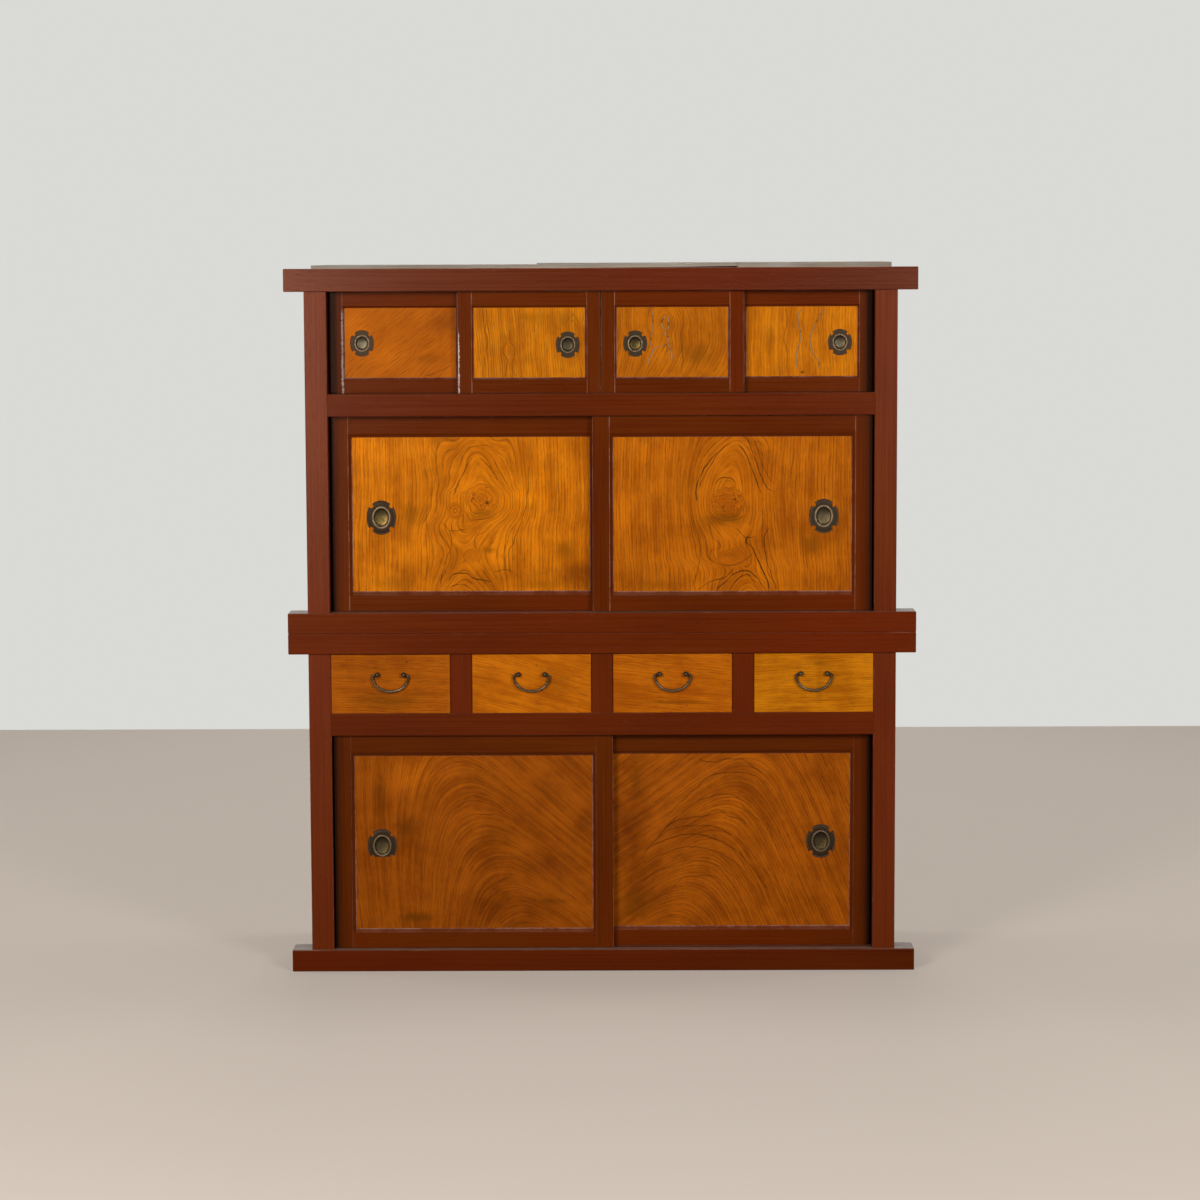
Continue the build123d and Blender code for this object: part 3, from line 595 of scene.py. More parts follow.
class Board:
    """The nodes of one board, with its own millimetres and its own noise."""

    def __init__(self, name, middle, seed):
        self.finish = Finish(name)
        self.u = (self.finish.x - middle[0]) * 1000
        self.v = (self.finish.z - middle[1]) * 1000
        self.seed = seed

    def drift(self, across, up, number, detail=2.0, rough=0.5):
        """Noise, by how fast it changes across and up the board. Each number gives another one."""
        return self.finish.noise(self.u * across, self.v * up, self.seed + number, detail, rough)

    def far(self, place, size=(1.0, 1.0)):
        """Distance from a place on the board, in its own two sizes."""
        return self.finish.far(self.u, self.v, place, size)

    def shade(self, colour, cloud, shades):
        """Lighter places, and darker ones where the amount is below 0."""
        for place, size, amount in shades:
            near = 1 - self.finish.smooth(self.far(place, size) + cloud * 0.6, *shade_range)
            tint = lighter if amount > 0 else darker
            share = near * abs(shade_gain * amount)
            colour = self.finish.blend(share, colour, tint, kind="MULTIPLY")
        return colour

    def draw(self, colour, brown, rises, runs, glint_lines):
        """Growth lines through given points, broken up and a little shaky. Pale painted highlights
        get a dark edge.
        """
        finish = self.finish
        shake_u, shake_v = ((self.drift(0.03, 0.03, n) - 0.5) * line_shake for n in (30.0, 33.0))
        broken = 0.55 + 0.45 * finish.smooth(self.drift(0.05, 0.05, 36.0), *broken_range)
        level = (self.u + shake_u, self.v + shake_v)
        upright = level[::-1]
        for lines, (along, aside), ink in (
            (rises, upright, brown), (runs, level, brown), (glint_lines, upright, pore_glint),
        ):
            for width, amount, points in lines:
                first, last = points[0][0], points[-1][0]
                fade = finish.smooth(along, first, first + line_fade)
                fade = fade * (1 - finish.smooth(along, last - line_fade, last))
                away = aside - finish.profile(along, points)
                share = broken * amount
                # Painted highlight: pale lines where open pores catch the light, with the pore's dark
                # edge beside them.
                if ink is pore_glint:
                    edge = finish.line(away, width * glint_edge_breadth) * fade
                    colour = finish.blend(edge * glint_edge_share, colour, brown)
                    share = (broken * 2.2 - 1.2) * amount
                core = finish.line(away, width * line_breadth) * fade
                colour = finish.blend(core * share, colour, ink)
        return colour

    def mark(self, colour, brown, olive, marks):
        """Dark patches with rough edges, brown where they are strong and olive elsewhere."""
        for place, size, share, grain in marks:
            rough = self.drift(grain, grain, 20.0, detail=4.0, rough=0.6)
            patch = 1 - self.finish.smooth(self.far(place, size) + rough * 0.9, *mark_range)
            ink = brown if share > strong_mark else olive
            colour = self.finish.blend(patch * share, colour, ink)
        return colour


# %% Rings and knots
knot_range = (0.86, 1.06)
bold_range = (0.72, 0.98)
dash_range = (0.36, 0.60)
pore_line_range = (0.03, 0.24)  # of a year
knot_boldness = 1.1
boldest = 1.3


def with_knots(board, years, twist, curls):
    """The age bent round knots, and for each knot how far out a point is and how much inside."""
    knots = []
    for place, size, turbulence in curls:
        out = board.far(place, size) + twist * 0.3
        own = out * size[0] * 0.9 + twist * turbulence * 0.6
        inside = 1 - board.finish.smooth(out, *knot_range)
        years = years + (own - years) * inside
        knots.append((out, inside))
    return years, knots


def ring_lines(board, years, knots, spacing, faint, bold):
    """How dark the pore line of each ring is, its dashes, and how far through its year it is."""
    finish = board.finish
    count = years / spacing + finish.noise(years * 0.022, board.seed, 0.0, detail=1.0) * 3.0
    ring = finish.math("FLOOR", count)
    phase = count - ring
    chance = finish.noise(ring * 3.7, board.seed, 0.0, detail=0.0)
    boldness = finish.smooth(chance + board.drift(0.012, 0.009, 2.0) * 0.5, *bold_range)
    for _, inside in knots:
        boldness = boldness + inside * knot_boldness
    for ring_age, width, amount, place, reach in bold:
        close = 1 - finish.smooth(board.far(place), reach * 0.6, reach)
        boldness = boldness + finish.line(years - ring_age, width) * close * amount
    dashes = finish.noise(years * 0.4, board.u * 0.11, board.v * 0.11)
    dashes = finish.smooth(dashes, *dash_range)
    shown = finish.math("MINIMUM", boldness * (1 - faint) + faint, boldest)
    pore_line = 1 - finish.smooth(phase, *pore_line_range)
    return pore_line * shown * (dashes * 0.6 + 0.4), dashes, phase


# %% Zelkova under golden lacquer
calm_range = (0.75, 1.25)
pore_range = (0.58, 0.74)
tone_range = (0.385, 0.605)
early_share, line_share, pore_share = 0.26, 0.85, 0.38  # how strongly each one colours the wood
knot_share, knot_edge_share = 0.28, 0.35
knot_edge = (0.97, 0.08)  # how far out, and its half width
golden_sheen = {"specular_ior_level": 0.12, "specular_tint": (1.0, 0.60, 0.25, 1.0)}


def zelkova(name, middle, age, seed, tones, spacing=8.0, sway=16.0, strength=1.0, faint=0.30,
            soft=0.0, bold=(), curls=(), calm=(), marks=(), shades=(), rises=(), runs=(), glint_lines=()):
    """A figured board: rings, fibre and pores that follow its age, then what is placed on it.

    All sizes are in millimetres. Spacing is the width of a ring, sway how far the rings wander,
    strength how dark they are, faint the share of that for the faintest, and soft how far the
    contrast of the wood is taken back. Each of bold is a ring to darken: its age, half width,
    strength, and the place and reach of where it shows. Each of curls is a knot with rings of its
    own: its place, half size and turbulence. Each of calm is a place without pore lines, and its
    half size. Each of marks is a dark patch: place, size, strength and grain. Each of shades is a
    lighter place, or a darker one below 0: its place, size and amount. Rises and runs are dark
    growth lines: a half width, a strength, and the points that the line passes, from its foot up as
    (v, u), or from its left end on as (u, v). The pale lines, given as rises, are painted highlight
    where open pores catch the light.
    """
    board = Board(name, middle, seed)
    finish, u, v, drift = board.finish, board.u, board.v, board.drift
    sway_u = (drift(0.007, 0.004, 0.0, detail=3.0) - 0.5) * sway
    sway_v = (drift(0.004, 0.007, 9.0, detail=3.0) - 0.5) * sway
    shiver = (drift(0.05, 0.018, 4.0, detail=3.0) - 0.5) * 4.0
    years = age(finish, u + sway_u + shiver, v + sway_v)
    twist = drift(0.06, 0.06, 5.0, detail=3.0, rough=0.6) - 0.5
    quiet = 1.0
    for place, size in calm:
        quiet = finish.smooth(board.far(place, size) + twist * 0.6, *calm_range) * quiet
    years, knots = with_knots(board, years, twist, curls)
    line, dashes, phase = ring_lines(board, years, knots, spacing, faint, bold)
    line = line * strength * quiet
    early = (1 - phase) ** 2.0 * (0.3 + 0.7 * quiet)

    band = finish.noise(years * 0.05, u * 0.003, v * 0.003, detail=4.0, rough=0.6)
    fibre = finish.noise(years * 0.32, u * 0.012, v * 0.012, detail=5.0, rough=0.75)
    pores = finish.noise(years * 0.60, u * 0.035, v * 0.035)
    pores = finish.smooth(pores + early * 0.10, *pore_range)
    cloud = drift(0.010, 0.010, 6.0, detail=4.0, rough=0.6)
    pale, deep, brown = tones
    olive = (deep[0] * 0.55, deep[1] * 0.72, deep[2] * 0.6)
    ruddy = (deep[0] * 0.88, deep[1] * 0.66, deep[2])
    tone = band * 0.30 + cloud * 0.34 + fibre * 0.36
    tone = finish.smooth(tone, tone_range[0] - soft, tone_range[1] + soft)
    colour = finish.blend(tone, deep, pale)
    colour = finish.blend(early * early_share, colour, deep)
    colour = finish.blend(finish.math("MINIMUM", line, 1.0) * line_share, colour, brown)
    colour = finish.blend(pores * pore_share, colour, brown)
    for out, inside in knots:
        edge = finish.line(out - knot_edge[0], knot_edge[1]) * dashes
        colour = finish.blend(inside * knot_share, colour, ruddy)
        colour = finish.blend(edge * knot_edge_share, colour, brown)
    colour = board.shade(colour, cloud, shades)
    colour = board.draw(colour, brown, rises, runs, glint_lines)
    colour = board.mark(colour, brown, olive, marks)
    roughness = 0.28 + fibre * 0.10 + pores * 0.10
    height = 0 - pores * 0.8 - line * 0.5 + fibre * 0.2
    return finish.surface(colour, roughness, height, lacquer_relief, **golden_sheen)


pale_blue, deep_blue, brown_blue = 0.003, 0.0010, 0.0014


def board_tones(pale_red, pale_green, deep_red, deep_green):
    """Pale wood, deep wood and the brown of the pores, all with next to no blue."""
    brown = (deep_red * 0.19, deep_green * 0.26, brown_blue)
    return (pale_red, pale_green, pale_blue), (deep_red, deep_green, deep_blue), brown


# %% [markdown]
# ## The tall doors
#
# The two best boards close the tall part, the most looked at. Both come from near the heart: an eye
# with a small knot in the middle, a neck below it, and a second knot where the rings open again.

# %% The tall doors
boards = {
    "tall_door_left": {
        "age": age_with_eye(
            ((-190, -18), (-143, -18), (-66, -18), (0, 16), (37, 26), (75, 26), (113, 20), (190, 10)),
            ((-190, 45), (-165, 58), (-143, 67), (-100, 74), (-66, 67), (-35, 55), (0, 34), (37, 4),
             (60, 40), (75, 56), (110, 66), (141, 73), (168, 85), (190, 96)),
        ),
        "seed": 11.0,
        "sway": 4.0,
        "faint": 0.42,
        "calm": [((4, 92), (44, 34)), ((-8, -62), (34, 40)), ((-6, -128), (40, 12))],
        "tones": board_tones(0.74, 0.205, 0.39, 0.092),
        "rises": [
            (1.0, 0.9, ((45, -44), (60, -38), (80, -30), (105, -18), (132, -3), (143, 8))),
            (1.0, 0.9, ((82, 66), (100, 56), (120, 43), (136, 27), (143, 8))),
            (0.9, 0.7, ((-178, -78), (-140, -70), (-105, -60), (-70, -50), (-42, -56), (-16, -76))),
            (0.9, 0.7, ((-92, 14), (-74, 8), (-56, 12), (-45, 30), (-37, 70))),
            (0.9, 0.7, ((-150, 97), (-112, 92), (-63, 107), (-14, 125), (55, 141), (120, 142))),
            (0.8, 0.55, ((-170, 88), (-112, 80), (-63, 92), (-20, 108))),
            (0.8, 0.5, ((-120, 118), (-60, 124), (0, 146), (60, 158))),
            (0.8, 0.5, ((20, -100), (70, -92), (120, -86), (170, -96))),
            (0.8, 0.5, ((-170, -120), (-80, -104), (-10, -112), (60, -106), (150, -112))),
        ],
        "runs": [
            (1.1, 0.9, ((-62, -172), (-52, -157), (-38, -148), (-18, -147), (4, -160), (50, -168))),
            (1.0, 0.8, ((-62, -190), (-46, -177), (-25, -174), (-4, -188))),
            (0.9, 0.6, ((-62, -32), (-46, -42), (-20, -38), (0, -34))),
            (0.8, 0.5, ((-34, 142), (0, 166), (36, 170), (74, 148), (104, 100))),
            (0.9, 0.6, ((38, -130), (58, -142), (84, -138), (120, -160))),
            (0.9, 0.7, ((-4, -8), (14, -14), (40, -10), (66, 6))),
        ],
        "curls": [
            ((26, 37), (41, 38), 34.0), ((-39, 9), (21, 20), 16.0), ((2, -103), (23, 16), 22.0),
        ],
        "marks": [
            ((26, 2), (44, 20), 0.60, 0.04), ((6, 39), (5, 4), 0.95, 0.10),
            ((40, 29), (9, 8), 1.0, 0.10),
            ((42, -89), (26, 12), 0.70, 0.07), ((-150, -2), (46, 40), 0.60, 0.05),
            ((-225, -15), (34, 60), 0.50, 0.05), ((235, -90), (36, 36), 0.55, 0.05),
            ((-200, -170), (70, 26), 0.45, 0.04), ((180, -176), (90, 20), 0.45, 0.04),
        ],
        "shades": [
            ((50, 150), (70, 50), 0.22), ((150, 50), (60, 70), 0.26), ((-260, 150), (60, 50), 0.15),
            ((270, 150), (50, 60), -0.22), ((-150, -150), (70, 50), -0.24),
            ((100, -160), (90, 40), -0.2), ((270, -160), (60, 50), -0.4),
        ],
    },
    "tall_door_right": {
        "age": age_with_eye(
            ((-190, 40), (-139, 37), (-108, 14), (-72, 6), (0, -8), (28, -11), (87, -7), (176, 10),
             (190, 12)),
            ((-190, 33), (-165, 48), (-139, 61), (-120, 54), (-100, 45), (-72, 50), (-45, 44),
             (-10, 24), (28, 3), (60, 12), (87, 22), (113, 32), (150, 50), (176, 64), (190, 72)),
        ),
        "seed": 23.0,
        "sway": 5.0,
        "faint": 0.42,
        "calm": [((-6, 124), (50, 36)), ((0, -44), (50, 26)), ((-2, -112), (44, 24))],
        "tones": board_tones(0.58, 0.150, 0.31, 0.066),
        "rises": [
            (1.1, 1.0, ((30, -87), (56, -89), (91, -80), (129, -59), (153, -35), (178, -2))),
            (1.0, 0.8, ((62, -80), (90, -71), (118, -56), (148, -36), (170, -16))),
            (1.1, 0.9, ((50, 72), (70, 63), (119, 46), (153, 31), (178, 12))),
            (1.1, 0.9, ((52, 116), (60, 94), (77, 78), (119, 62), (153, 50), (187, 36))),
            (0.9, 0.6, ((70, 104), (100, 84), (130, 72), (187, 52))),
            (1.3, 1.0, ((-190, 92), (-160, 84), (-126, 68), (-105, 60), (-84, 50), (-66, 34),
                        (-48, 46))),
            (1.1, 0.8, ((-190, 110), (-150, 96), (-110, 84), (-70, 78), (-30, 92))),
            (1.1, 0.8, ((-122, -46), (-105, -55), (-91, -52), (-80, -30), (-59, -48), (-20, -60))),
            (0.9, 0.6, ((-180, -100), (-130, -84), (-90, -80), (-50, -92), (0, -104))),
            (0.8, 0.55, ((40, 150), (84, 142), (119, 147), (160, 158))),
        ],
        "runs": [
            (1.3, 1.0, ((-40, -188), (-13, -165), (8, -147), (32, -141), (54, -150), (70, -172),
                        (78, -190))),
            (1.2, 0.9, ((-8, -190), (12, -164), (34, -151), (50, -162), (62, -190))),
            (1.1, 0.8, ((-88, -190), (-55, -168), (-20, -157), (8, -130))),
            (1.0, 0.9, ((-46, 68), (-34, 84), (-17, 91), (1, 85), (14, 70))),
            (1.0, 0.8, ((4, -34), (20, -46), (36, -58), (60, -56))),
            (0.9, 0.7, ((-38, -122), (-10, -127), (24, -118), (52, -96))),
            (0.9, 0.6, ((-48, -6), (-20, -16), (10, -14), (36, 0))),
        ],
        "curls": [((-11, 28), (43, 38), 46.0), ((-2, -108), (36, 20), 36.0)],
        "marks": [
            ((-12, -12), (60, 28), 0.75, 0.05), ((-22, 18), (5, 4), 1.0, 0.10),
            ((6, 36), (6, 4), 1.0, 0.10), ((-8, -100), (34, 12), 0.45, 0.10),
            ((195, -75), (40, 40), 0.60, 0.05),
            ((-120, 60), (50, 50), 0.30, 0.03), ((-180, -176), (90, 20), 0.40, 0.04),
            ((-60, -20), (40, 30), 0.35, 0.04),
        ],
        "shades": [
            ((-180, 150), (90, 50), 0.14), ((50, 60), (60, 50), 0.18), ((50, -150), (60, 50), 0.18),
            ((-270, 0), (40, 120), 0.12), ((250, -40), (50, 60), -0.24),
            ((-220, -150), (90, 50), -0.14),
        ],
    },
}

# %% [markdown]
# ## The low doors
#
# The low doors are a pair from one log, laid so that their arches lean away from each other. They
# took the knocks and the kitchen's smoke, so they are darker, with quieter rings.

# %% The low doors
boards |= {
    "low_door_left": {
        "age": age_with_arches(2.2, 0.95, 95.0, -0.41, 62.0, upright=0.0035),
        "seed": 37.0,
        "spacing": 11.0,
        "strength": 0.55,
        "faint": 0.22,
        "tones": board_tones(0.38, 0.086, 0.19, 0.037),
        "runs": [
            (0.8, 0.5, ((-60, 60), (-30, 96), (0, 118), (30, 112), (70, 84), (120, 50))),
            (0.8, 0.5, ((-30, -20), (0, 44), (28, 70), (60, 66), (110, 30), (200, -30))),
            (0.8, 0.5, ((-20, -120), (20, -60), (70, -36), (120, -50), (180, -96), (260, -150))),
            (0.8, 0.45, ((20, -170), (56, -112), (86, -90), (120, -96), (170, -130))),
        ],
        "marks": [
            ((-236, 120), (26, 80), 0.45, 0.05), ((-170, 36), (50, 46), 0.55, 0.05),
            ((-150, -190), (60, 22), 0.70, 0.06), ((190, -150), (80, 12), 0.55, 0.05),
            ((60, 20), (70, 50), 0.35, 0.03),
        ],
        "shades": [
            ((-150, 170), (80, 60), 0.42), ((-40, 150), (60, 60), 0.2), ((180, -60), (90, 50), -0.26),
            ((40, -170), (140, 60), -0.28), ((280, 40), (50, 70), -0.15),
            ((270, -180), (50, 40), 0.1),
        ],
    },
    "low_door_right": {
        "age": age_with_arches(0.75, 2.6, 85.0, 0.457, -51.0),
        "seed": 41.0,
        "spacing": 9.0,
        "strength": 0.85,
        "faint": 0.40,
        "tones": board_tones(0.44, 0.101, 0.21, 0.041),
        "runs": [
            (1.0, 0.7, ((-84, 208), (-63, 197), (-42, 196), (-15, 204), (20, 204), (48, 190),
                        (84, 163))),
            (1.0, 0.7, ((-160, 62), (-120, 100), (-84, 134), (-67, 150), (-42, 165), (6, 171),
                        (48, 166), (76, 146), (96, 112))),
            (1.0, 0.7, ((-190, 6), (-150, 44), (-110, 80), (-84, 96), (-49, 111), (-8, 116),
                        (17, 108), (27, 88), (48, 67), (76, 40))),
            (1.0, 0.7, ((-220, -34), (-180, 10), (-140, 46), (-105, 55), (-63, 62), (-32, 75),
                        (-8, 60), (20, 52), (42, 26))),
            (1.0, 0.65, ((-235, -64), (-205, -20), (-170, 16), (-133, 32), (-63, 36), (-15, 22),
                         (27, -9), (62, -50), (103, -105), (140, -165))),
            (1.0, 0.8, ((-205, -18), (-160, 1), (-98, 14), (-42, 1), (6, -23), (48, -64),
                        (92, -130))),
            (0.9, 0.6, ((-220, -60), (-160, -32), (-100, -18), (-50, -26), (0, -52), (40, -92),
                        (74, -150))),
            (0.9, 0.6, ((-230, -110), (-160, -70), (-100, -52), (-50, -60), (0, -88), (36, -130))),
            (0.9, 0.5, ((-150, -120), (-100, -92), (-60, -92), (-10, -124), (20, -170))),
        ],
        "marks": [((-240, -160), (60, 60), 0.65, 0.04), ((-235, 150), (30, 60), 0.5, 0.05)],
        "shades": [
            ((-260, 40), (60, 90), -0.36), ((-220, -130), (90, 80), -0.24),
            ((-10, 60), (110, 60), 0.26), ((90, 160), (70, 50), 0.12),
        ],
    },
}

# %% [markdown]
# ## The small doors
#
# The small doors use what was left of the good wood: one board cut aslant, one with straight rings,
# and two with open pores, whose pale lines are painted highlight where the pores catch the light.

# %% The small doors
boards |= {
    "small_door_1": {
        "age": age_straight(-0.62, 0.78, 60.0), "seed": 51.0, "strength": 0.06, "faint": 0.1,
        "soft": 0.09, "tones": board_tones(0.50, 0.122, 0.33, 0.064),
        "runs": [(0.8, 0.7, ((60, -80), (80, -77), (102, -68), (128, -52)))],
        "marks": [((74, -40), (60, 20), 0.35, 0.04)],
        "shades": [
            ((-110, 30), (50, 60), 0.26), ((-40, -30), (50, 40), 0.16), ((110, 50), (50, 40), -0.28),
        ],
    },
    "small_door_2": {
        "age": age_straight(1.0, 0.06, 18.0), "seed": 53.0, "spacing": 6.0,
        "strength": 1.1, "faint": 0.45, "tones": board_tones(0.68, 0.207, 0.38, 0.095),
        "bold": [(first_age + u, 3, 1.2, (u, 0), 120) for u in (-116, -100, -84, -62, -44, -24)],
        "rises": [
            (0.8, 0.6, ((-20, -104), (10, -102), (34, -108), (60, -104), (86, -110))),
            (0.8, 0.7, ((-86, -60), (-45, -54), (-20, -64), (0, -57), (24, -62))),
            (0.8, 0.6, ((-86, -32), (-50, -42), (-20, -35), (10, -48), (44, -43))),
        ],
        "runs": [
            (0.9, 0.8, ((84, 26), (96, 56), (107, 68), (118, 56), (130, 28))),
            (0.8, 0.7, ((92, 30), (101, 46), (107, 52), (114, 44), (122, 28))),
        ],
        "marks": [((10, 60), (60, 22), 0.4, 0.04), ((90, 60), (30, 34), 0.35, 0.05)],
        "shades": [((110, -20), (50, 70), -0.28), ((60, 50), (60, 30), -0.15)],
    },
    "small_door_3": {
        "age": age_with_eye(
            ((-90, -60), (-40, -30), (6, -15), (45, -17), (90, -20)),
            ((-90, 12), (-40, 14), (-12, 16), (20, 20), (45, 6), (66, 16), (90, 30)),
        ),
        "seed": 59.0, "spacing": 7.0, "sway": 10.0, "strength": 0.6, "faint": 0.25,
        "tones": board_tones(0.55, 0.150, 0.31, 0.073),
        # pale lines of painted highlight, where open pores catch the light
        "glint_lines": [
            (1.2, 0.9, ((26, -15), (38, -24), (48, -26), (60, -21), (68, -15))),
            (1.2, 0.8, ((26, -15), (36, -9), (48, -8), (60, -10), (68, -15))),
            (1.2, 0.9, ((-2, -13), (10, -9), (19, -19), (30, -15))),
            (1.1, 0.8, ((-50, -1), (-28, -2), (-12, -7), (2, -13))),
            (1.1, 0.8, ((-56, -62), (-38, -54), (-18, -44), (-10, -28), (-2, -13))),
            (0.9, 0.6, ((-20, -50), (10, -52), (50, -47), (84, -50))),
        ],
        "rises": [
            (0.8, 0.6, ((-80, 20), (-30, 26), (10, 20), (50, 28), (84, 24))),
            (0.8, 0.6, ((-84, 52), (-50, 66), (-20, 84), (6, 92), (30, 90))),
        ],
        "marks": [((60, -30), (60, 40), 0.5, 0.04)],
    },
    "small_door_4": {
        "age": age_straight(1.0, 0.0, 36.0), "seed": 61.0, "strength": 0.7, "faint": 0.25,
        "tones": board_tones(0.68, 0.205, 0.40, 0.098),
        # pale lines of painted highlight, where open pores catch the light
        "glint_lines": [
            (1.0, 0.65, ((-70, 44), (-46, 38), (-21, 24), (5, 20), (35, 32), (57, 42), (82, 54))),
            (1.0, 0.65, ((-70, -6), (-39, -14), (-17, -9), (20, -3), (49, -10), (82, 0))),
        ],
        "rises": [(0.8, 0.6, ((-80, -40), (-30, -34), (10, -44), (50, -36), (84, -42)))],
        "marks": [((2, -76), (7, 5), 0.95, 0.10), ((-80, 0), (22, 60), 0.45, 0.05)],
    },
}
for door, board in boards.items():
    dress(f"{door}_panel", zelkova(f"zelkova_{door}", window(door)[0], **board))
print("panels:", len(boards))

# %% [markdown]
# ## Drawer fronts
#
# A drawer front has to stay flat and not bind, so it is cut with straight grain, which here slopes a
# little, and differently in each drawer.

# %% Drawer fronts
drawer_wave = 14.0
drawer_seed = 70.0
drawer_slopes = {1: (0.05, 1.0), 2: (0.26, 1.0), 3: (0.10, 1.0), 4: (-0.03, 1.0)}
drawer_tones = {
    1: board_tones(0.44, 0.105, 0.27, 0.056),
    2: board_tones(0.60, 0.160, 0.36, 0.078),
    3: board_tones(0.54, 0.136, 0.33, 0.067),
    4: board_tones(0.62, 0.200, 0.37, 0.096),
}
drawer_marks = {
    1: [((40, 55), (4, 4), 0.9, 0.10), ((0, -40), (120, 34), 0.6, 0.03)],
    2: [((12, 46), (3, 5), 0.85, 0.10), ((60, 0), (60, 40), 0.3, 0.03)],
    3: [((36, -56), (3, 4), 0.9, 0.10), ((10, -48), (140, 8), 0.6, 0.04)],
    4: [((14, 48), (24, 10), 0.6, 0.08), ((14, -10), (14, 60), 0.4, 0.05)],
}
for number, slopes in drawer_slopes.items():
    low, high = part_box(f"drawer_{number}_front")
    middle = ((low.x + high.x) / 2, (low.z + high.z) / 2)
    board = zelkova(
        f"zelkova_drawer_{number}", middle, age_straight(*slopes, drawer_wave),
        drawer_seed + number, drawer_tones[number], spacing=6.0, strength=0.55, faint=0.35,
        marks=drawer_marks[number],
    )
    dress(f"drawer_{number}_front", board)
print("drawer fronts:", len(drawer_slopes))

# %% [markdown]
# ## Cup pulls
#
# A cup pull is cast bronze: a plate with four lobes, and a deep oval cup whose rounded rim lies on
# it. Fingertips in the cup slide the door. The CAD solid has the plate flat. Here each pull is one
# skin, laid as rows of points that all have the same count, from the cup's floor out over the rim and
# the plate and round to the back, so every row joins the next. The rows on the plate blend from the
# lobed outline to the oval rim, and one dips to draw the engraved border.

# %% The outline of a plate
def arc(start, through, end, steps):
    """Points on the circle through three points, from the first up to, but not with, the last."""
    (ax, az), (bx, bz), (cx, cz) = start, through, end
    turn = 2 * (ax * (bz - cz) + bx * (cz - az) + cx * (az - bz))
    squares = (ax * ax + az * az, bx * bx + bz * bz, cx * cx + cz * cz)
    x = (squares[0] * (bz - cz) + squares[1] * (cz - az) + squares[2] * (az - bz)) / turn
    z = (squares[0] * (cx - bx) + squares[1] * (ax - cx) + squares[2] * (bx - ax)) / turn
    radius = math.hypot(ax - x, az - z)
    first, middle, last = (math.atan2(pz - z, px - x) for px, pz in (start, through, end))
    full = 2 * math.pi
    sweep = (last - first) % full
    if (middle - first) % full > sweep:
        sweep -= full
    angles = [first + sweep * step / steps for step in range(steps)]
    return [(x + radius * math.cos(angle), z + radius * math.sin(angle)) for angle in angles]


lobe_share = (0.61, 0.80)  # tips of the upper and lower lobes, as shares of the plate's half size
side_share = (0.83, 0.62)
notch_share = 0.58
arc_steps = 12


def lobed_outline(half):
    """The plate's outline, clockwise from the left tip of its upper lobe."""
    lobe = (half[0] * lobe_share[0], half[1] * lobe_share[1])
    side = (half[0] * side_share[0], half[1] * side_share[1])
    notch = (half[0] * notch_share, half[1] * notch_share)
    corners = [
        ((-lobe[0], lobe[1]), (0, half[1]), (lobe[0], lobe[1])),
        ((lobe[0], lobe[1]), notch, side),
        (side, (half[0], 0), (side[0], -side[1])),
        ((side[0], -side[1]), (notch[0], -notch[1]), (lobe[0], -lobe[1])),
    ]
    right = [point for corner in corners for point in arc(*corner, arc_steps)]
    return right + [(-x, -z) for x, z in right]


# %% One pull
large_pull = {"plate": (36.5, 42.5), "rim": (23.0, 27.5), "band": 4.5}
small_pull = {"plate": (29.5, 32.5), "rim": (18.5, 20.5), "band": 3.6}
# The rows of the skin, each as a place and its height from the panel in millimetres. The place is the
# share of the way from the plate's outline to the rim, then the share of the rim's band, and in the
# cup the millimetres inwards from that band.
plate_rows = (
    (0.0, 0.0), (0.0, 1.0), (0.05, 1.6), (0.17, 1.6), (0.22, 1.1), (0.27, 1.6), (0.7, 1.7),
    (1.0, 1.6),
)
rim_rows = ((0.0, 2.5), (0.12, 3.2), (0.38, 3.6), (0.66, 3.5), (0.88, 3.0), (1.0, 2.0))
cup_rows = ((0.2, -3.0), (1.0, -6.6), (3.0, -7.9), (6.5, -8.3), (12.0, -8.4))
cup_back = -9.4
cup_wall = 1.0
cup_floor_size = (0.8, 1.0)  # least half width and height of a row
stump = 0.5  # of the lost lobe, past the rim
weld_distance = 1e-6
sharp_angle = math.radians(38)


def pull_rows(style, lost_lobe):
    """Rows of (x, height, z) from the cup's floor to the back, in millimetres from the panel."""
    outline = lobed_outline(style["plate"])
    rim = style["rim"]
    if lost_lobe:
        end = -rim[1] - stump
        outline = [(x * min(1, end / z), end) if z < end else (x, z) for x, z in outline]
    turns = [math.atan2(z / rim[1], x / rim[0]) for x, z in outline]

    def oval(inset, height):
        wide, tall = (max(half - inset, least) for half, least in zip(rim, cup_floor_size))
        return [(wide * math.cos(turn), height, tall * math.sin(turn)) for turn in turns]

    def on_plate(share, height):
        return [
            (x + (ex - x) * share, height, z + (ez - z) * share)
            for (x, z), (ex, _, ez) in zip(outline, oval(0.0, 0.0))
        ]

    band = style["band"]
    cup = [oval(band + inset, height) for inset, height in reversed(cup_rows)]
    lip = [oval(band * share, height) for share, height in reversed(rim_rows)]
    plate = [on_plate(share, height) for share, height in reversed(plate_rows)]
    behind = [oval(band - cup_wall, 0.0), oval(band - cup_wall, cup_back)]
    return cup + lip + plate + behind


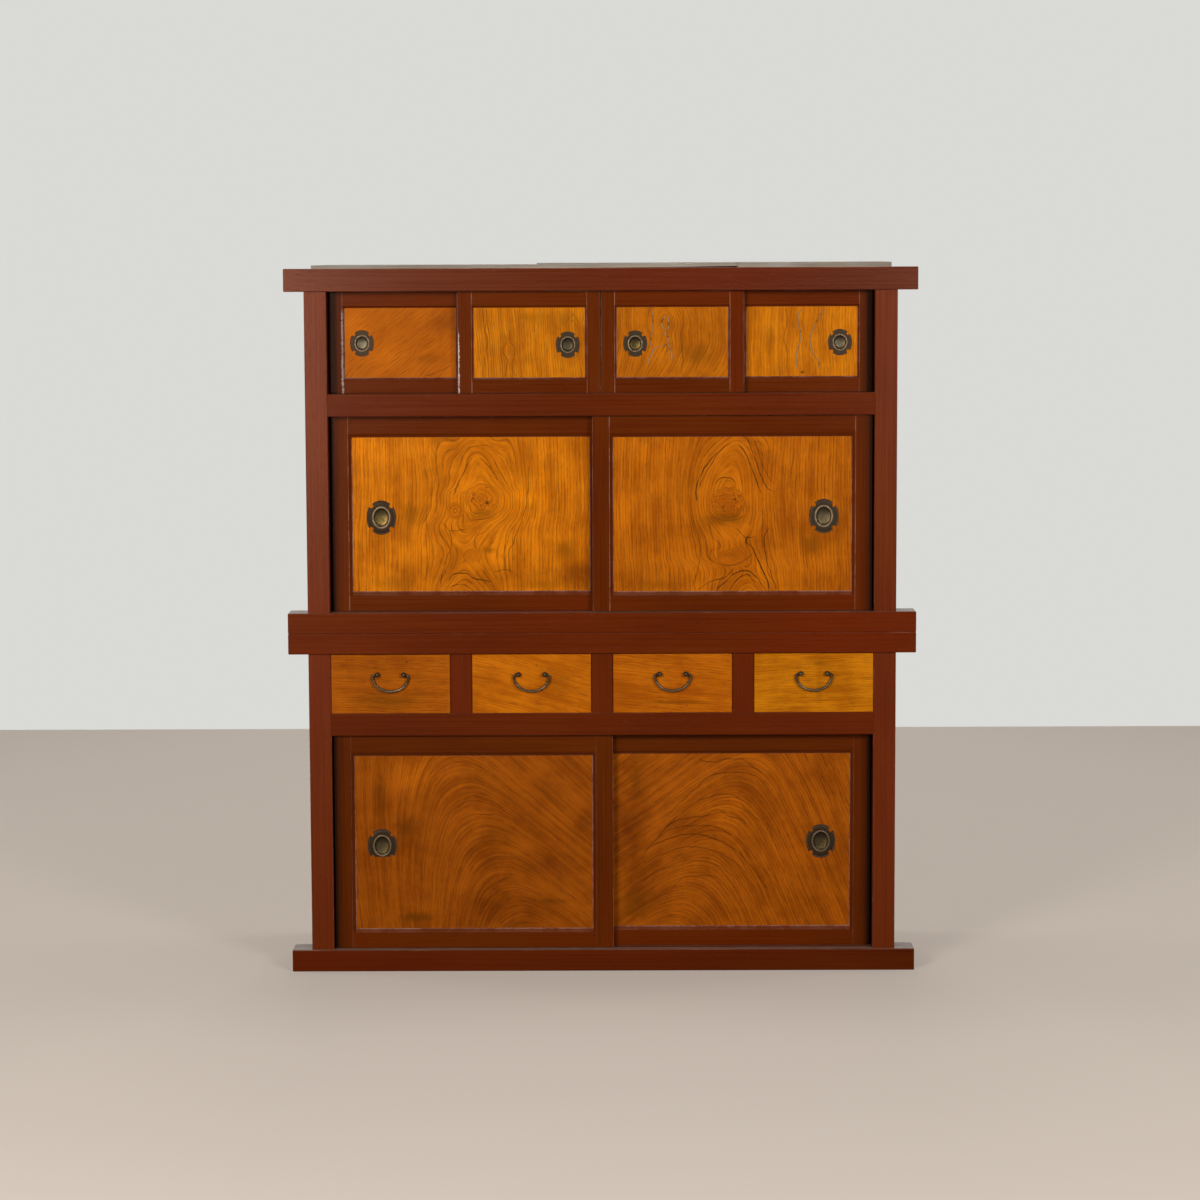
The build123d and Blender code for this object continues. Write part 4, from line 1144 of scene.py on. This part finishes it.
def make_pull(door, style, finish, lost_lobe=False):
    """A cup pull on its door, in place of the CAD solid."""
    low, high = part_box(f"{door}_pull")
    panel_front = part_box(f"{door}_panel")[0].y
    place = Vector(((low.x + high.x) / 2, panel_front, high.z - style["plate"][1] / 1000))
    skin = bmesh.new()
    rows = [
        [skin.verts.new(place + Vector((x, -height, z)) / 1000) for x, height, z in row]
        for row in pull_rows(style, lost_lobe)
    ]
    for row, following in zip(rows, rows[1:]):
        for n in range(len(row)):
            after = (n + 1) % len(row)
            skin.faces.new((row[n], row[after], following[after], following[n]))
    skin.faces.new(rows[0])
    skin.faces.new(rows[-1])
    bmesh.ops.remove_doubles(skin, verts=skin.verts, dist=weld_distance)
    bmesh.ops.recalc_face_normals(skin, faces=skin.faces)
    mesh = bpy.data.meshes.new(f"{door}_cup_pull")
    skin.to_mesh(mesh)
    skin.free()
    mesh.shade_smooth()
    mesh.set_sharp_from_angle(angle=sharp_angle)
    mesh.materials.append(finish.material)
    piece = put_in_scene(f"{door}_cup_pull", mesh)
    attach(piece, door)
    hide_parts(f"{door}_pull")
    return place, len(mesh.polygons)


# %% [markdown]
# ## Bronze
#
# The plates have gone almost black, the rims are rubbed to a pale pinkish grey by fingers, and the
# cups keep an olive-gold. One material tells the three apart by how far a point is from the middle of
# the oval, in units of the rim, where the rim's outer edge is 1. In the cup it also paints light and
# shade: golder towards the lower right, darker under the rim and along the walls.

# %% Bronze of a pull
plate_black = (0.022, 0.012, 0.005)
plate_edge = (0.13, 0.068, 0.036)
rim_pale = (0.26, 0.180, 0.105)
cup_olive = (0.075, 0.052, 0.016)
cup_gold = (0.26, 0.165, 0.046)
cup_ashen = (0.115, 0.098, 0.066)
# Painted shadow inside the cup, under the rim and along its walls.
cup_shadow = (0.014, 0.009, 0.004)
bronze_sheen = {"specular_ior_level": 0.25, "specular_tint": (1.0, 0.80, 0.55, 1.0)}
bronze_relief = 0.00025
plate_edge_range = (0.70, 0.97)  # 1 is a face that looks straight at the front
bare_range = (0.62, 0.8)
# The cup's golden places are partly the patina's own and partly painted light, strongest to the lower
# right.
gold_and_glint_range = (0.42, 0.70)
lit_low_right_range = (-0.6, 1.1)  # in half sizes of the rim
rim_shadow_range = (-0.10, 0.55)
worn_rim_range = (0.30, 0.55)


def pull_finish(door, style, cup_shade=1.0, ashen=0.0, rim_shade=1.0, plate=plate_black):
    """Patinated bronze for one pull. Ashen is the share of grey in the cup."""
    finish = Finish(f"bronze_{door}")
    low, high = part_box(f"{door}_pull")
    rim = tuple(size / 1000 for size in style["rim"])
    middle = ((low.x + high.x) / 2, high.z - style["plate"][1] / 1000)
    out = finish.far(finish.x, finish.z, middle, rim)
    inner = 1 - style["band"] / style["rim"][0]
    in_cup = 1 - finish.smooth(out, inner - 0.03, inner + 0.01)
    on_rim = (1 - in_cup) * (1 - finish.smooth(out, 0.99, 1.03))
    clouds = finish.mottle(160, detail=4.0, rough=0.65)
    grit = finish.mottle(600)
    edge = 1 - finish.smooth(abs(finish.faces(1)), *plate_edge_range)
    bare = finish.math("MAXIMUM", edge, finish.smooth(clouds, *bare_range) * 0.5)
    skin = finish.blend(bare, plate, plate_edge)
    shaded = (
        tuple(cup_shade * (part + (grey - part) * ashen) for part, grey in zip(tone, cup_ashen))
        for tone in (cup_olive, cup_gold)
    )
    # Painted light: the cup turns golder towards its lower right, where the lamps reach into it.
    right = (finish.x - middle[0]) / rim[0]
    up = (finish.z - middle[1]) / rim[1]
    lit_low_right = finish.smooth(right - up, *lit_low_right_range)
    gold_and_glint = finish.smooth(clouds * 0.5 + grit * 0.3 + lit_low_right * 0.25, *gold_and_glint_range)
    cup = finish.blend(gold_and_glint, *shaded)
    # Painted shade: darker under the upper rim, which shades the cup, and along the cup's walls.
    rim_shadow = finish.smooth(up + (clouds - 0.5) * 0.8, *rim_shadow_range)
    wall_shade = finish.smooth(out, inner - 0.30, inner)
    cup = finish.blend(finish.math("MAXIMUM", rim_shadow * 0.75, wall_shade * 0.6), cup, cup_shadow)
    rim_colour = tuple(rim_shade * part for part in rim_pale)
    worn = finish.blend(finish.smooth(clouds, *worn_rim_range), plate_edge, rim_colour)
    colour = finish.blend(in_cup, finish.blend(on_rim, skin, worn), cup)
    roughness = 0.42 - on_rim * 0.08 - in_cup * 0.06 + grit * 0.12
    metallic = 0.25 + in_cup * 0.35 + on_rim * 0.15
    height = clouds * 0.6 + grit * 0.4
    return finish.surface(
        colour, roughness, height, bronze_relief, metallic=metallic, **bronze_sheen
    )


# %% All eight pulls
pull_looks = {
    "small_door_1": {"cup_shade": 1.1, "ashen": 0.8, "plate": (0.040, 0.023, 0.012)},
    "small_door_2": {
        "cup_shade": 0.5, "ashen": 0.6, "rim_shade": 0.8, "plate": (0.030, 0.019, 0.010),
    },
    "small_door_3": {"cup_shade": 0.7, "plate": (0.027, 0.018, 0.009)},
    "small_door_4": {"cup_shade": 0.9, "ashen": 0.7, "plate": (0.036, 0.023, 0.014)},
    "tall_door_left": {"cup_shade": 1.1},
    "tall_door_right": {"cup_shade": 0.9, "ashen": 0.5, "plate": (0.026, 0.018, 0.010)},
    "low_door_left": {"cup_shade": 0.65, "ashen": 0.3, "rim_shade": 0.65},
    "low_door_right": {"cup_shade": 0.55, "ashen": 0.3, "rim_shade": 0.5},
}
for door, look in pull_looks.items():
    style = small_pull if door.startswith("small") else large_pull
    finish = pull_finish(door, style, **look)
    place, faces = make_pull(door, style, finish, lost_lobe=door == "low_door_left")
    print("pull on", door, "at", [round(part, 3) for part in place], "faces", faces)

# %% [markdown]
# ## Bails and studs
#
# The drawers have bent wire handles that hang from two studs. Their shape is right in the CAD model,
# so they only need a finish: brown bronze, nearly black in its hollows and polished along the belly,
# where hands pull.

# %% Bail bronze
bail_dark = (0.036, 0.022, 0.009)
bail_polished = (0.14, 0.094, 0.044)
belly_height = (0.712, 0.730)  # from polished to dark, in metres from the floor
bail_relief = 0.00004


def bail_finish():
    """Brown bronze, polished along the belly of the bails."""
    finish = Finish("bail_bronze")
    clouds = finish.mottle(120, detail=4.0, rough=0.6)
    belly = 1 - finish.smooth(finish.z, *belly_height)
    polish = finish.math("MINIMUM", finish.smooth(clouds, 0.35, 0.65) * 0.5 + belly * 0.5, 1.0)
    colour = finish.blend(polish, bail_dark, bail_polished)
    return finish.surface(colour, 0.40 - polish * 0.08, clouds, bail_relief, metallic=0.6)


bail_bronze = bail_finish()
for number in range(1, 5):
    for part in ("bail", "studs"):
        dress(f"drawer_{number}_{part}", bail_bronze)
print("bails and studs dressed:", number)

# %% [markdown]
# ## Nails
#
# The back boards and the drawer boxes are nailed. Nails repeat, so Geometry Nodes make them: one tree
# puts a flattened ball on every point of a cloud, tips each a little with a fixed seed, and makes the
# result real. A modifier on the cloud sets the head's radius and height and which way it faces. The
# heads are then turned into a plain mesh, one for each body that they ride on.

# %% The nail tree
iron_black = (0.030, 0.022, 0.018)
iron_rusty = (0.13, 0.065, 0.035)
nail_tip = 0.12  # radians, the most that a head tips either way
first_seed = 5
iron = Finish("nail_iron")
rust = iron.mottle(700, detail=3.0)
iron.surface(iron.blend(rust, iron_black, iron_rusty), 0.55 + rust * 0.2, metallic=0.6)


def nail_tree():
    """A node group that puts a nail head on every point."""
    tree = bpy.data.node_groups.new("nail_heads", "GeometryNodeTree")
    for name, kind, default in (
        ("Points", "Geometry", None), ("Head Radius", "Float", 0.0022),
        ("Head Height", "Float", 0.0008), ("Facing", "Vector", (0.0, 0.0, 0.0)),
        ("Seed", "Int", first_seed), ("Finish", "Material", None),
    ):
        socket = tree.interface.new_socket(name, in_out="INPUT", socket_type=f"NodeSocket{kind}")
        if default is not None:
            socket.default_value = default
    tree.interface.new_socket("Heads", in_out="OUTPUT", socket_type="NodeSocketGeometry")

    def node(kind, settings=None, **links):
        made = tree.nodes.new(kind)
        for name, value in (settings or {}).items():
            setattr(made, name, value)
        for name, value in links.items():
            target = made.inputs[name.replace("_", " ")]
            if isinstance(value, bpy.types.NodeSocket):
                tree.links.new(value, target)
            else:
                target.default_value = value
        return made

    given = tree.nodes.new("NodeGroupInput").outputs
    ball = node("GeometryNodeMeshUVSphere", Segments=10, Rings=6, Radius=given["Head Radius"])
    flat = node("ShaderNodeMath", {"operation": "DIVIDE"})
    tree.links.new(given["Head Height"], flat.inputs[0])
    tree.links.new(given["Head Radius"], flat.inputs[1])
    squash = node("ShaderNodeCombineXYZ", X=1.0, Y=1.0, Z=flat.outputs[0])
    head = node("GeometryNodeTransform", Geometry=ball.outputs["Mesh"], Scale=squash.outputs[0])
    tip = node("FunctionNodeRandomValue", {"data_type": "FLOAT_VECTOR"}, Seed=given["Seed"])
    tip.inputs["Min"].default_value = (-nail_tip,) * 3
    tip.inputs["Max"].default_value = (nail_tip,) * 3
    turn = node("ShaderNodeVectorMath", {"operation": "ADD"})
    tree.links.new(given["Facing"], turn.inputs[0])
    tree.links.new(tip.outputs["Value"], turn.inputs[1])
    heads = node(
        "GeometryNodeInstanceOnPoints", Points=given["Points"], Instance=head.outputs[0],
        Rotation=turn.outputs[0],
    )
    real = node("GeometryNodeRealizeInstances", Geometry=heads.outputs[0])
    dressed = node("GeometryNodeSetMaterial", Geometry=real.outputs[0], Material=given["Finish"])
    tree.links.new(dressed.outputs[0], tree.nodes.new("NodeGroupOutput").inputs[0])
    return tree


nails = nail_tree()


# %% Nail heads for a body
def nail_heads(name, body, clouds):
    """Nail heads for a body. Each of clouds is a turn, in degrees, and the places of its nails."""
    gathered = bmesh.new()
    for number, (facing, places) in enumerate(clouds):
        points = bpy.data.meshes.new(f"{name}_points")
        points.from_pydata(places, [], [])
        cloud = put_in_scene(f"{name}_points", points)
        modifier = cloud.modifiers.new("nails", "NODES")
        modifier.node_group = nails
        for socket in nails.interface.items_tree:
            value = {
                "Facing": tuple(math.radians(angle) for angle in facing),
                "Seed": first_seed + number,
                "Finish": iron.material,
            }.get(socket.name)
            if value is not None:
                modifier[socket.identifier] = value
        graph = bpy.context.evaluated_depsgraph_get()
        made = bpy.data.meshes.new_from_object(cloud.evaluated_get(graph))
        gathered.from_mesh(made)
        cloud.modifiers.remove(modifier)
        bpy.data.objects.remove(cloud)
        bpy.data.meshes.remove(made)
    mesh = bpy.data.meshes.new(name)
    gathered.to_mesh(mesh)
    gathered.free()
    mesh.shade_smooth()
    mesh.materials.append(iron.material)
    piece = put_in_scene(name, mesh)
    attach(piece, body)
    print(name, "nails:", sum(len(places) for _, places in clouds))


# %% Where the nails are
backwards = (-90.0, 0.0, 0.0)
board_count = 8
nail_inset = 0.045  # from the middle of a board
post_nail_x = 0.700
post_nails = 6
post_nail_margin = 0.03
drawer_nail_lifts = (0.025, 0.060, 0.095)
drawer_nail_inset = 0.005
rail_heights = {"lower": (0.619,), "upper": (1.100, 1.407)}
for chest, rails in rail_heights.items():
    low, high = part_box(f"{chest}_back_boards")
    width = (high.x - low.x) / board_count
    middles = [low.x + width * (n + 0.5) for n in range(board_count)]
    places = [(x + side * nail_inset, high.y, z) for x in middles for side in (-1, 1) for z in rails]
    pitch = (high.z - low.z - 2 * post_nail_margin) / (post_nails - 1)
    heights = [low.z + post_nail_margin + n * pitch for n in range(post_nails)]
    places += [(side * post_nail_x, high.y, z) for side in (-1, 1) for z in heights]
    nail_heads(f"{chest}_back_nails", f"{chest}_chest", [(backwards, places)])

for number in range(1, 5):
    low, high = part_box(f"drawer_{number}_box")
    y = high.y - drawer_nail_inset
    sides = [
        ((0.0, turn, 0.0), [(x, y, low.z + lift) for lift in drawer_nail_lifts])
        for turn, x in ((-90.0, low.x), (90.0, high.x))
    ]
    nail_heads(f"drawer_{number}_nails", f"drawer_{number}", sides)

# %% [markdown]
# ## Floor, backdrop and light
#
# The cabinet stands on a plain pale floor before a pale backdrop. Two broad soft lamps stand to its
# left and right, higher than its top, so the light falls off towards the floor, and two narrow ones
# lend the posts a sheen. Their level is set so that a colour on the front looks about as it is
# written. Weaker lamps behind the front light the sides, the back and the top, and none of them
# reaches the doors.

# %% Floor and backdrop
def stage_sheet(name, corners, finish):
    """A flat sheet of the studio, which isn't part of the cabinet."""
    mesh = bpy.data.meshes.new(name)
    mesh.from_pydata(corners, [], [(0, 1, 2, 3)])
    mesh.materials.append(finish.material)
    put_in_scene(name, mesh)


def looked_at(finish, *rays):
    """1 for the rays of the kinds that are named, 0 for light that bounces."""
    paths = [finish.node("ShaderNodeLightPath", output=f"Is {ray} Ray") for ray in rays]
    total = paths[0]
    for path in paths[1:]:
        total = total + path
    return finish.math("MINIMUM", total, 1.0)


floor_reach = 14.0
floor_back_edge = 3.95
floor_pale = (0.42, 0.36, 0.31)
floor_glow = (0.22, 0.195, 0.17)
floor_bounce = (0.22, 0.195, 0.175)
floor = Finish("studio_floor")
floor_share = looked_at(floor, "Camera", "Glossy", "Transmission")
floor.surface(
    floor.blend(floor_share, floor_bounce, floor_pale), 0.9, specular_ior_level=0.0,
    emission_color=floor.blend(floor_share, (0.0, 0.0, 0.0), floor_glow), emission_strength=1.0,
)
stage_sheet("floor", [
    (-floor_reach, -floor_reach, 0.0), (floor_reach, -floor_reach, 0.0),
    (floor_reach, floor_back_edge, 0.0), (-floor_reach, floor_back_edge, 0.0),
], floor)
print("floor to", floor_back_edge, "metres behind the cabinet's middle")

# %% [markdown]
# A wall would hide the cabinet from whoever walks round it, so the world stands in for one. It is
# pale where it is looked at, and where what faces backwards reflects it, but dim for light that
# bounces, so that the lamps alone shape the front.

# %% Backdrop
backdrop_pale = (0.70, 0.70, 0.675)
backdrop_dim = (0.070, 0.0686, 0.0665)
world = bpy.data.worlds.new("studio")
scene.world = world
sky = Finish("studio", world)
towards = sky.node("ShaderNodeTexCoord", output="Generated")
behind = sky.smooth(sky.node("ShaderNodeSeparateXYZ", inputs={0: towards}, output=1), 0.0, 0.1)
sky_share = looked_at(sky, "Camera") + looked_at(sky, "Glossy", "Transmission") * behind
sky_tone = sky.blend(sky.math("MINIMUM", sky_share, 1.0), backdrop_dim, backdrop_pale)
background = sky.node("ShaderNodeBackground", inputs={"Color": sky_tone, "Strength": 1.0})
sky.node("ShaderNodeOutputWorld", inputs={0: background})
print("backdrop:", world.name)


# %% Lamps
def soft_lamp(name, place, aim, size, power):
    """A broad rectangular lamp that faces a point."""
    light = bpy.data.lights.new(name, "AREA")
    light.shape = "RECTANGLE"
    light.size, light.size_y = size
    light.energy = power
    lamp = put_in_scene(name, light)
    lamp.matrix_world = Matrix.Translation(place) @ (
        (Vector(aim) - Vector(place)).to_track_quat("-Z", "Y").to_matrix().to_4x4()
    )


lamps = {  # place, aim, size in metres and power in watts
    "lamp_left": ((-2.4, -4.9, 2.6), (0.0, 0.0, 1.3), (1.2, 1.2), 132.0),
    "lamp_right": ((2.7, -4.9, 2.6), (0.0, 0.0, 1.3), (1.2, 1.2), 124.0),
    "strip_left": ((-1.6, -4.9, 1.4), (-0.7, 0.0, 1.4), (0.3, 1.4), 36.0),
    "strip_right": ((1.65, -4.9, 1.5), (0.7, 0.0, 1.5), (0.3, 1.2), 14.0),
    "side_left": ((-5.0, 1.4, 2.4), (0.0, 0.0, 0.9), (1.6, 1.6), 50.0),
    "side_right": ((5.0, 1.4, 2.4), (0.0, 0.0, 0.9), (1.6, 1.6), 50.0),
    "back_lamp": ((0.0, 5.6, 4.2), (0.0, 0.0, 0.9), (2.0, 1.2), 110.0),
    "top_lamp": ((0.0, 0.6, 5.0), (0.0, 0.0, 1.7), (2.0, 1.0), 30.0),
}
for name, settings in lamps.items():
    soft_lamp(name, *settings)
print("lamps:", len(lamps))
